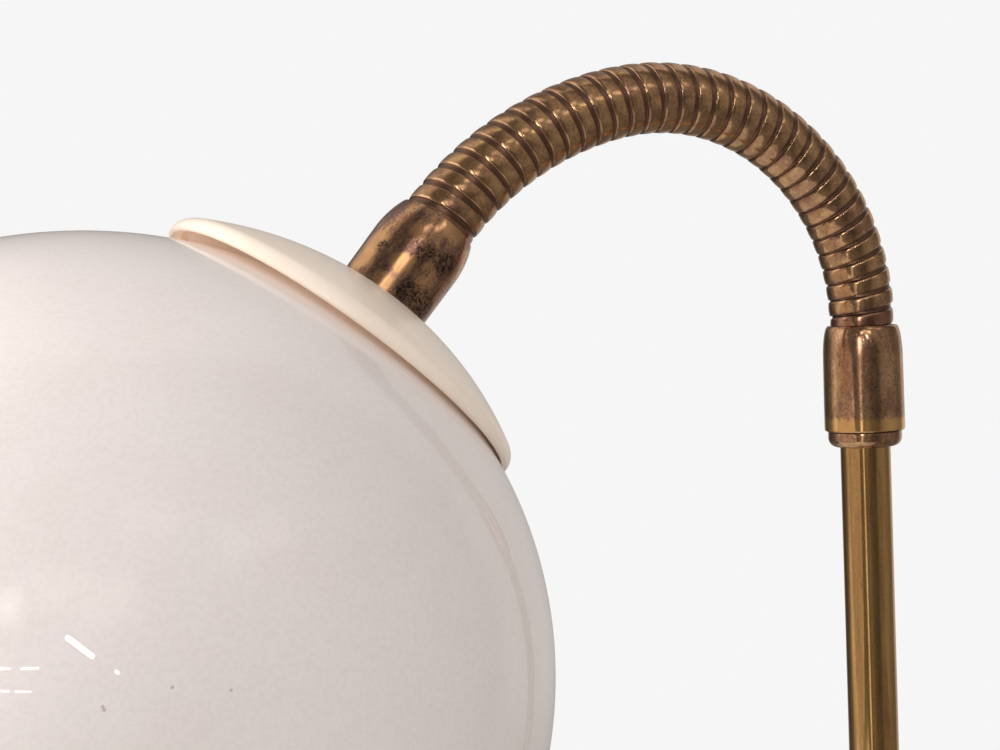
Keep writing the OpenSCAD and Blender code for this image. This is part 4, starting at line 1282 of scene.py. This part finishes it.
@dataclass
class Shade:
    """Globe shade with its cap, upper ferrule, spacer, washer, nipple and nut."""

    spine: Spine
    globe_d: float = 180.0
    globe_wall: float = 1.0
    mouth_half_angle: float = 48.0
    mouth_bead_d: float = 3.8
    globe_seat_d: float = 24.0
    cap_d: float = 85.0
    cap_shoulder_r: float = 3.0
    cap_edge_h: float = 2.8
    cap_edge_r: float = 0.8
    cap_rim_t: float = 2.4
    cap_float: float = 1.1
    cap_h: float = 15.2
    cap_wall: float = 1.0
    cap_askew: float = 1.1
    ferrule_d: float = 20.6
    ferrule_l: float = 21.0
    widest_h: float = 8.0
    neck_d: float = 16.4
    neck_fit: float = 0.25
    neck_socket_l: float = 9.58
    nipple_d: float = 10.0
    head: Matrix = field(init=False)
    globe_h: float = field(init=False)

    def __post_init__(self) -> None:
        """Works out the head's place and the globe's distance from the neck's end."""
        self.head = self.spine.head_matrix()
        reach = self.globe_d / 2 + self.cap_float + self.cap_edge_r
        across = self.cap_d / 2 - self.cap_edge_r
        self.globe_h = self.ferrule_l + self.cap_h - self.cap_edge_r + sqrt(reach * reach - across * across)

    def build(self) -> None:
        """Turns the visible shells and rounds the small fittings."""
        self.globe()
        self.cap()
        ferrule = placed(turned("ferrule_above_neck", self.upper_ferrule(), 128), self.head)
        dressed(ferrule, "head", "aged_brass", UPPER_BRASS, "upper_ferrule")
        fittings(
            ("cap_spacer_tube", "cap_spacer", "head", "brass", CONTACT_BRASS, 0.2),
            ("globe_washer", "shade_washer", "head", "steel", STEEL, 0.2),
            ("threaded_nipple", "nipple", "head", "steel", STEEL, 0.15),
            ("hexagon_nut", "nipple_nut", "head", "steel", STEEL, 0.35),
        )

    def globe(self) -> None:
        """Turns the globe: flat seat, ball and rolled rim."""
        r = self.globe_d / 2
        inner = r - self.globe_wall
        seat_r = self.globe_seat_d / 2
        seat_h = self.globe_h - sqrt(r * r - seat_r * seat_r)
        inner_seat = sqrt(inner * inner - (self.globe_h - seat_h - self.globe_wall) ** 2)
        hole = self.nipple_d / 2 + 0.1
        mouth = 90 - self.mouth_half_angle
        bead_r = self.mouth_bead_d / 2
        mid = r - self.globe_wall / 2
        end = mouth - degrees(bead_r / mid) * 0.9
        outline = [(hole, seat_h), (seat_r - 0.6, seat_h)]
        outline += arc(0, self.globe_h, r, -degrees(acos(seat_r / r)), end, 120)
        bead = (mid * cos(radians(mouth)), self.globe_h + mid * sin(radians(mouth)))
        outline += arc(*bead, bead_r, mouth - 65, mouth + 245, 26)
        outline += arc(0, self.globe_h, inner, end, -degrees(acos(inner_seat / inner)), 120)
        outline += [(hole, seat_h + self.globe_wall)]
        piece = placed(turned("globe", outline, 192, 40), self.head)
        tucked(piece, self)
        dressed(piece, "head", "shade_lacquer", SHADE_LACQUER, "shade_globe")

    def cap(self) -> None:
        """Turns the cap: a shallow dome that turns down into a folded rim, and sits a little askew."""
        top = self.ferrule_l
        rim_h = top + self.cap_h
        rim_r = self.cap_d / 2
        seat = self.ferrule_d / 2
        fold_h = rim_h - self.cap_edge_h
        centre = (rim_r * rim_r + fold_h * fold_h - seat * seat - top * top) / (2 * (fold_h - top))
        dome = hypot(seat, centre - top)
        lining = dome - self.cap_wall
        turn_r = self.cap_shoulder_r
        turn_at = rim_r - turn_r
        turn_h = centre - sqrt((dome - turn_r) ** 2 - turn_at * turn_at)
        turn_a = -degrees(acos(turn_at / (dome - turn_r)))
        inner_r = rim_r - self.cap_rim_t
        hole = self.nipple_d / 2 + 0.1
        outline = [(hole, top), (seat - 0.4, top)]
        outline += arc(0, centre, dome, -degrees(acos(seat / dome)), turn_a, 40)
        outline += arc(turn_at, turn_h, turn_r, turn_a, 0, 12)
        outline += arc(rim_r - self.cap_edge_r, rim_h - self.cap_edge_r, self.cap_edge_r, 0, 96, 8)
        outline += [(inner_r + 0.5, rim_h - 1.0), (inner_r + 0.12, rim_h - 1.18), (inner_r, rim_h - 1.5)]
        first, last = (-degrees(acos(r / lining)) for r in (inner_r, seat - 0.6))
        outline += arc(0, centre, lining, first, last, 40)
        outline += [(seat - 1.4, top + self.cap_wall), (hole, top + self.cap_wall)]
        askew = raised(0, top) @ Matrix.Rotation(radians(self.cap_askew), 4, "Y") @ raised(0, top).inverted()
        piece = placed(turned("cap", outline, 160, 40), self.head @ askew)
        tucked(piece, self)
        dressed(piece, "head", "cap_enamel", CAP_ENAMEL, "shade_cap")

    def upper_ferrule(self) -> list[Point]:
        """Draws the upper ferrule: flared from the neck, then nearly straight to the cap.

        Returns:
            The outline as radius and height.
        """
        length = self.ferrule_l
        wide = self.ferrule_d / 2
        wide_h = self.widest_h
        socket_r = self.neck_d / 2 + self.neck_fit
        drop = wide - socket_r - 0.35
        flare = (drop**2 + wide_h**2) / (2 * drop)
        nipple_r = self.nipple_d / 2
        outline = [(socket_r, 0.12), (socket_r + 0.12, 0.0)]
        outline += arc(wide - flare, wide_h, flare, -degrees(asin(wide_h / flare)), 0, 18)
        outline += [(wide - 0.2 * t, wide_h + (length - 0.35 - wide_h) * t) for t in (0.25, 0.5, 0.75, 1.0)]
        outline += [(wide - 0.5, length), (nipple_r, length)]
        return outline + [(nipple_r, self.neck_socket_l), (socket_r, self.neck_socket_l)]


@dataclass
class Holder:
    """Lamp holder and bulb inside the globe."""

    shade: Shade
    washer_t: float = 1.6
    nut_t: float = 5.0
    dome_h: float = 15.0
    skirt_step: float = 1.0
    insert_t: float = 8.0
    contact_rise: float = 2.4
    bulb_contact_t: float = 1.6
    bulb_base_d: float = 26.2
    bulb_base_l: float = 24.0
    thread_start: float = 5.0
    thread_l: float = 14.0
    thread_pitch: float = 3.6
    thread_d: float = 0.45
    bulb_d: float = 60.0
    bulb_l: float = 104.0
    glass_wall: float = 0.9

    def build(self) -> None:
        """Rounds the holder's pieces and turns the bulb."""
        fittings(
            ("holder_top", "holder_dome", "head", "holder_plastic", HOLDER_PLASTIC, 0.2),
            ("holder_sleeve", "holder_skirt", "head", "holder_plastic", HOLDER_PLASTIC, 0.2),
            ("holder_ceramic", "holder_insert", "head", "ceramic", CERAMIC, 0.2),
            ("contact_strip", "holder_contact", "head", "contact_brass", CONTACT_BRASS, 0.2),
            ("threaded_shell", "screw_shell", "head", "contact_brass", CONTACT_BRASS, 0.2),
            ("bulb_tip_contact", "bulb_contact", "head", "contact_brass", CONTACT_BRASS, 0.2),
        )
        shade = self.shade
        seat = shade.globe_h - sqrt((shade.globe_d / 2) ** 2 - (shade.globe_seat_d / 2) ** 2)
        shell_h = seat + shade.globe_wall + self.washer_t + self.nut_t
        shell_h += self.dome_h + self.skirt_step + self.insert_t
        tip_h = shell_h + self.contact_rise
        base_h = tip_h + self.bulb_contact_t
        base = placed(turned("bulb_cap_metal", self.base(), 72), shade.head @ raised(0, base_h))
        dressed(base, "head", "bulb_metal", BULB_METAL, "bulb_base")
        glass = self.glass(base_h + self.bulb_base_l, tip_h + self.bulb_l - self.bulb_d / 2)
        envelope = placed(turned("bulb_envelope", glass, 96, 40), shade.head)
        dressed(envelope, "head", "bulb_glass", OPAL, "bulb_glass")

    def base(self) -> list[Point]:
        """Draws the bulb's base with its rolled thread.

        Returns:
            The outline as radius and height.
        """
        r = self.bulb_base_d / 2
        outline = [(0.0, 0.0), (5.5, 0.0), (r - 0.6, 3.6), (r, 4.4)]
        for rise in (self.thread_l * i / 59 for i in range(60)):
            depth = self.thread_d * (cos(2 * pi * rise / self.thread_pitch) - 1)
            outline.append((r + depth, self.thread_start + rise))
        return outline + [(r, self.bulb_base_l), (0.0, self.bulb_base_l)]

    def glass(self, start: float, centre: float) -> list[Point]:
        """Draws the bulb's glass, with a smooth neck into its ball.

        Args:
            start: Height of its neck.
            centre: Height of the ball's centre.

        Returns:
            The outline, which starts and ends on the axis.
        """
        r = self.bulb_d / 2
        wall = self.glass_wall
        neck = self.bulb_base_d / 2 - 0.6
        tilt = degrees(asin((r - neck) / (centre - start))) * 0.9
        ball = arc(0, centre, r, -tilt, 90, 40)
        meet = ball[0]
        rise = np.linspace(0, 0.92, 12)
        flank = [(neck + (meet[0] - neck) * t, start + (meet[1] - start) * t) for t in rise]
        lining = arc(0, centre, r - wall, -tilt, 90, 40)
        ball[-1] = (0.0, centre + r)
        lining[-1] = (0.0, centre + r - wall)
        return ball[::-1] + flank[::-1] + [(x - wall, z) for x, z in flank] + lining


@dataclass
class Foot:
    """Foot housing with its switch, cord bush, locking screw and washer."""

    def build(self) -> None:
        """Rounds each piece of the foot and gives it its finish."""
        fittings(
            ("foot_bell", "foot_housing", "clip_base", "brass", CLIP_BRASS, 0.3),
            ("foot_screws", "housing_screws", "clip_base", "steel", STEEL, 0.15),
            ("inlet_bush", "cord_bush", "clip_base", "black_plastic", BLACK_PLASTIC, 0.2),
            ("switch_case", "switch_body", "clip_base", "black_plastic", BLACK_PLASTIC, 0.2),
            ("brake_washer", "friction_washer", "clip_base", "fibre", FIBRE, 0.1),
            ("push_button", "switch_button", "switch_button", "button_plastic", BUTTON_PLASTIC, 0.2),
            ("locking_screw", "lock_screw", "lock_screw", "brass", CLIP_BRASS, 0.12),
        )


@dataclass
class Clip:
    """Spring clip: two pressed jaws with pads, handle sleeves, pin and spring."""

    pivot_x: float = 62.0
    pivot_z: float = -2.5
    pivot_r: float = 2.5
    wire_d: float = 1.6
    coils: float = 6.5
    coil_step: float = 2.1
    leg_end_x: float = 19.4195
    leg_bend_x: float = 15.0
    leg_start_x: float = 6.5
    plate_rise: float = 5.5
    handle_angle: float = 24.0
    bend_x: float = 8.0
    blend_half_l: float = 5.2

    def build(self) -> None:
        """Rounds the pressings, pads and sleeves, and winds the spring."""
        fittings(
            ("upper_jaw_plate", "jaw_upper", "clip_base", "clip_brass", CLIP_BRASS, 0.35),
            ("lower_jaw_plate", "jaw_lower", "lower_jaw", "clip_brass", CLIP_BRASS, 0.35),
            ("upper_pad", "pad_upper", "clip_base", "pad_rubber", PAD_RUBBER, 0.4),
            ("lower_pad", "pad_lower", "lower_jaw", "pad_rubber", PAD_RUBBER, 0.4),
            ("upper_sleeve", "sleeve_upper", "clip_base", "sleeve_plastic", SLEEVE_PLASTIC, 0.3),
            ("lower_sleeve", "sleeve_lower", "lower_jaw", "sleeve_plastic", SLEEVE_PLASTIC, 0.3),
            ("hinge_pin", "pivot_pin", "clip_base", "steel", STEEL, 0.2),
        )
        self.spring()

    def leg_height(self, x: float) -> float:
        """Returns the height over the pivot of a spring leg that lies under a handle."""
        slope = radians(self.handle_angle)
        return self.plate_rise + (x - self.bend_x) * tan(slope) - (self.wire_d / 2 + 0.05) / cos(slope)

    def path(self) -> list[Vector]:
        """Works out the spring's centre line.

        Returns:
            Its points about the pivot, in millimetres.
        """
        wind_r = self.pivot_r + 0.3 + self.wire_d / 2
        width = self.coils * self.coil_step
        legs = [(x, self.leg_height(x)) for x in (self.leg_end_x, self.leg_bend_x)]
        legs.append((self.leg_start_x, wind_r))
        steps = int(self.coils * 24)
        coils = []
        for i in range(steps + 1):
            a = radians(90 + 15 * i)
            coils.append(Vector((wind_r * cos(a), -width / 2 + width * i / steps, wind_r * sin(a))))
        first = [Vector((x, -width / 2, z)) for x, z in legs]
        return first + coils + [Vector((x, width / 2, -z)) for x, z in reversed(legs)]

    def spring(self) -> None:
        """Draws the spring's line and gives it a round wire."""
        deselect_all()
        curve = bpy.data.curves.new("torsion_spring", "CURVE")
        curve.dimensions = "3D"
        curve.bevel_depth = self.wire_d / 2 * MM
        curve.bevel_resolution = 3
        curve.use_fill_caps = True
        points = self.path()
        line = curve.splines.new("POLY")
        line.points.add(len(points) - 1)
        for place, point in zip(points, line.points):
            point.co = (*((place + Vector((self.pivot_x, 0, self.pivot_z))) * MM), 1.0)
        piece = bpy.data.objects.new("torsion_spring", curve)
        bpy.context.scene.collection.objects.link(piece)
        pick(piece)
        bpy.ops.object.convert(target="MESH")
        piece = bpy.context.object
        bpy.ops.object.shade_smooth_by_angle(angle=radians(60))
        piece.data.materials.clear()
        piece.data.materials.append(STEEL.material())
        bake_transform(piece)
        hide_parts("clip_spring")
        log.info("%s: %d faces, between both jaws", piece.name, len(piece.data.polygons))


# Stage


@dataclass(frozen=True)
class PhotoCamera:
    """The camera at the photograph's viewing angle, set by the lower end of the gooseneck."""

    azimuth: float = -32.34
    elevation: float = 3.20
    roll: float = -1.78
    offset: tuple[float, float, float] = (19.8, -13.6, 452.1)
    focal: float = 1.8
    shift: float = -0.283
    aim: tuple[float, float, float] = (32.0, 0.0, 290.0)

    def axes(self) -> tuple[Vector, Vector, Vector]:
        """Works out how the camera stands.

        Returns:
            The directions to its right, up and back.
        """
        az, el, roll = (radians(v) for v in (self.azimuth, self.elevation, self.roll))
        back = Vector((sin(az) * cos(el), -cos(az) * cos(el), sin(el)))
        level = Vector((cos(az), sin(az), 0))
        above = back.cross(level)
        return level * cos(roll) + above * sin(roll), above * cos(roll) - level * sin(roll), back

    def build(self) -> None:
        """Adds the camera and makes it the scene's."""
        right, up, back = self.axes()
        x, y, z = self.offset
        place = (Vector(self.aim) - right * x + up * y + back * z) * MM
        deselect_all()
        bpy.ops.object.camera_add(location=place)
        camera = bpy.context.object
        camera.name = "photo_camera"
        camera.matrix_world = Matrix.Translation(place) @ Matrix((right, up, back)).transposed().to_4x4()
        camera.data.sensor_width = 36.0
        camera.data.lens = camera.data.sensor_width * self.focal
        camera.data.shift_x = self.shift
        camera.data.clip_start = 0.01
        bpy.context.scene.camera = camera


@dataclass(frozen=True)
class Lamp:
    """A soft lamp: its direction in degrees, height and distance in metres, size and power."""

    name: str
    angle: float
    height: float
    distance: float
    size: Point
    power: float


@dataclass(frozen=True)
class Patch:
    """A soft-edged place of another tone on the reflected panels, in degrees."""

    angle: float
    rise: float
    half_w: float
    half_h: float
    tone: float
    soft: float


@dataclass(frozen=True)
class Gap:
    """A bright slit between the panels, from one direction to another, in degrees."""

    start: Point
    end: Point
    width: float
    tone: float


@dataclass(frozen=True)
class Studio:
    """Pale table top in the clip's jaws, plain soft light and a pale surround."""

    camera: PhotoCamera
    pale: float = 0.92
    fill: Colour = (0.70, 0.70 * 0.985, 0.70 * 0.97)
    centre: tuple[float, float, float] = (-0.06, 0.0, 0.26)
    table_at: tuple[float, float, float] = (-0.278, -0.02, -0.0025)
    table_size: tuple[float, float, float] = (0.644, 0.72, 0.0046)
    table_edge: float = 0.0012
    table_colour: Colour = (0.62, 0.61, 0.60)
    lamps: tuple[Lamp, ...] = (
        Lamp("key_light", -75, 0.55, 1.1, (0.9, 1.1), 11.5),
        Lamp("front_light", -25, 0.7, 1.5, (1.0, 0.8), 6.5),
    )
    room_r: float = 1.7
    slit_r: float = 1.5
    panel_colour: Colour = (1.0, 0.94, 0.88)
    panels: tuple[Point, ...] = (
        (-180, 0.50), (-165, 0.30), (-150, 0.08), (-132, 0.09), (-112, 0.22), (-96, 0.76), (-78, 0.84),
        (-64, 0.46), (-40, 0.28), (-30, 0.18), (-17, 0.18), (-12, 0.26), (-1, 0.18), (7, 0.24),
        (20, 0.13), (42, 0.10), (54, 0.22), (80, 0.31), (112, 0.20), (126, 0.22), (136, 0.60),
        (162, 0.60), (180, 0.45)
    )
    overhead: tuple[Point, ...] = (
        (-180, 0.40), (-150, 0.20), (-115, 0.75), (-85, 0.75), (-50, 0.20), (-10, 0.16), (12, 0.24),
        (45, 0.38), (75, 0.34), (110, 0.14), (128, 0.20), (138, 0.62), (165, 0.62), (180, 0.40)
    )
    floor: float = 0.20
    mirrored_at: tuple[float, float, float] = (-0.175, -0.085, 0.250)
    patches: tuple[Patch, ...] = (
        Patch(-73, 24, 21, 15, 1.6, 10.0),
        Patch(-9, -10, 2.0, 26, 1.4, 4.0),
        Patch(-9, 10, 3.5, 6, 9.0, 3.0),
        Patch(-1, 28, 2.0, 3.0, 6.0, 4.0),
        Patch(10, 32, 6, 4, 1.6, 5.0),
        Patch(22, 29, 6, 5, 1.7, 5.0),
        Patch(35, 46, 9, 4, 1.2, 5.0),
        Patch(62, 37, 11, 4, 1.3, 5.0),
    )
    gaps: tuple[Gap, ...] = (
        Gap((14.9, 23.3), (21.1, 18.0), 1.25, 22.0),
        Gap((25.5, 14.4), (26.6, 13.7), 0.9, 18.0),
        Gap((-6.0, 16.8), (2.8, 16.7), 0.65, 13.0),
        Gap((4.7, 16.6), (8.9, 16.5), 0.65, 13.0),
        Gap((-6.0, 12.2), (2.5, 11.7), 0.55, 12.0),
        Gap((3.7, 11.6), (7.4, 11.4), 0.55, 12.0),
    )

    def toward(self, angle: float, height: float, distance: float) -> Vector:
        """Returns a place around the lamp.

        Args:
            angle: Direction seen from above, in degrees from the camera, positive to its right.
            height: Height over the middle of the lamp, in metres.
            distance: Level distance from it, in metres.

        Returns:
            The place.
        """
        right, _, back = self.camera.axes()
        ahead = Vector((back.x, back.y, 0)).normalized()
        side = Vector((right.x, right.y, 0)).normalized()
        a = radians(angle)
        return Vector(self.centre) + (ahead * cos(a) + side * sin(a)) * distance + Vector((0, 0, height))

    def light(self, lamp: Lamp) -> None:
        """Adds a soft lamp that faces the middle of the lamp and shows in no gloss.

        Args:
            lamp: The soft lamp.
        """
        place = self.toward(lamp.angle, lamp.height, lamp.distance)
        deselect_all()
        bpy.ops.object.light_add(type="AREA", location=place)
        light = bpy.context.object
        light.name = lamp.name
        light.data.shape = "RECTANGLE"
        light.data.size, light.data.size_y = lamp.size
        light.data.energy = lamp.power
        light.rotation_euler = (Vector(self.centre) - place).to_track_quat("-Z", "Y").to_euler()
        light.visible_glossy = False

    def room(self) -> None:
        """Hangs soft panels round and over the lamp that only reflections see, each of its own grey."""
        deselect_all()
        bpy.ops.mesh.primitive_uv_sphere_add(
            segments=360, ring_count=120, radius=self.room_r, location=self.centre
        )
        room = bpy.context.object
        room.name = "reflected_panels"
        right, _, back = self.camera.axes()
        at = points_of(room)
        aside, ahead = (at @ np.array((way.x, way.y, 0)) for way in (right, back))
        around = np.degrees(np.arctan2(aside, ahead))
        rise = np.degrees(np.arcsin(np.clip(at[:, 2] / self.room_r, -1, 1)))
        tone, above = (np.interp(around, *zip(*table)) for table in (self.panels, self.overhead))
        over = np.clip((rise - 6) / 16, 0, 1)
        under = np.clip((-rise - 14) / 16, 0, 1)
        tone = tone * (1 - over - under) + above * over + self.floor * under
        for patch in self.patches:
            past = np.abs((around - patch.angle + 180) % 360 - 180) - patch.half_w
            outside = np.maximum(past, np.abs(rise - patch.rise) - patch.half_h)
            inside = np.clip(0.5 - outside / patch.soft, 0, 1)
            tone = tone * (1 - inside) + patch.tone * inside
        mark(room, "tone", tone)
        self.hung(room, "panel cloth", self.panel_colour, "tone")
        for number, gap in enumerate(self.gaps):
            self.slit(f"panel_gap_{number}", gap)

    def slit(self, name: str, gap: Gap) -> None:
        """Hangs one bright slit just inside the panels.

        Args:
            name: Name of the slit.
            gap: Its place, width and tone.
        """
        ends = []
        for angle, rise in (gap.start, gap.end):
            a = radians(rise)
            out = self.toward(angle, self.slit_r * sin(a), self.slit_r * cos(a)) - Vector(self.centre)
            ends.append(Vector(self.mirrored_at) + out)
        along = ends[1] - ends[0]
        middle = (ends[0] + ends[1]) / 2
        inward = (Vector(self.mirrored_at) - middle).normalized()
        turn = Matrix((along.normalized(), inward.cross(along).normalized(), inward)).transposed()
        deselect_all()
        bpy.ops.mesh.primitive_plane_add(size=1.0, location=middle, rotation=turn.to_euler())
        piece = bpy.context.object
        piece.name = name
        piece.scale = (along.length, self.slit_r * radians(gap.width), 1.0)
        self.hung(piece, name, (1.0, 1.0, 1.0), gap.tone)

    def hung(self, piece: Piece, name: str, colour: Colour, tone: float | str) -> None:
        """Makes a piece glow, and leaves it visible to reflections alone.

        Args:
            piece: The panels or a slit.
            name: Name of its material.
            colour: Its colour.
            tone: How bright it is, or the attribute that says so.
        """
        bpy.ops.object.transform_apply(location=True, rotation=True, scale=True)
        paint = bpy.data.materials.new(name)
        paint.use_nodes = True
        paint.node_tree.nodes.clear()
        graph = Graph(paint.node_tree)
        strength = graph.attribute(tone) if isinstance(tone, str) else tone
        glow = graph.add("Emission", {"Color": colour, "Strength": strength})
        graph.add("OutputMaterial", {"Surface": glow.outputs[0]})
        piece.data.materials.append(paint)
        for rays in ("camera", "diffuse", "transmission", "volume_scatter", "shadow"):
            setattr(piece, f"visible_{rays}", False)

    def table(self) -> None:
        """Lays the table top that the clip holds on to, with rounded edges."""
        deselect_all()
        bpy.ops.mesh.primitive_cube_add(size=1.0, location=self.table_at, scale=self.table_size)
        top = bpy.context.object
        top.name = "table_top"
        bpy.ops.object.transform_apply(location=True, rotation=True, scale=True)
        edge = top.modifiers.new("edge", "BEVEL")
        edge.width = self.table_edge
        edge.segments = 4
        bpy.ops.object.modifier_apply(modifier=edge.name)
        bpy.ops.object.shade_smooth_by_angle(angle=radians(40))
        paint = bpy.data.materials.new("pale table")
        Skin(paint, self.table_colour).finish(roughness=0.6)
        top.data.materials.append(paint)

    def surround(self) -> None:
        """Paints the world pale for the camera and for gloss, and dimmer as a fill light."""
        world = bpy.data.worlds.new("surround")
        bpy.context.scene.world = world
        world.use_nodes = True
        world.node_tree.nodes.clear()
        graph = Graph(world.node_tree)
        rays = graph.add("LightPath").outputs
        seen = graph.math("MAXIMUM", rays["Is Camera Ray"], rays["Is Transmission Ray"])
        seen = graph.math("MAXIMUM", seen, rays["Is Glossy Ray"])
        dim = graph.add("Background", {"Color": self.fill})
        pale = graph.add("Background", {"Color": (self.pale, self.pale, self.pale)})
        both = graph.add("MixShader", {0: seen, 1: dim.outputs[0], 2: pale.outputs[0]})
        graph.add("OutputWorld", {"Surface": both.outputs[0]})

    def build(self) -> None:
        """Sets up the surround, the table, the lamps and the panels."""
        bpy.context.scene.view_settings.view_transform = "Standard"
        self.surround()
        self.table()
        for lamp in self.lamps:
            self.light(lamp)
        self.room()


def main() -> None:
    """Builds the lamp, its stage and its camera."""
    logging.basicConfig(level=logging.INFO, format="%(message)s")
    camera = PhotoCamera()
    camera.build()
    spine = Spine()
    shade = Shade(spine)
    for part in (shade, Holder(shade), Gooseneck(spine), Stem(spine), Foot(), Clip(), Studio(camera)):
        log.info("building %s", type(part).__name__)
        part.build()


if __name__ == "__main__":
    main()
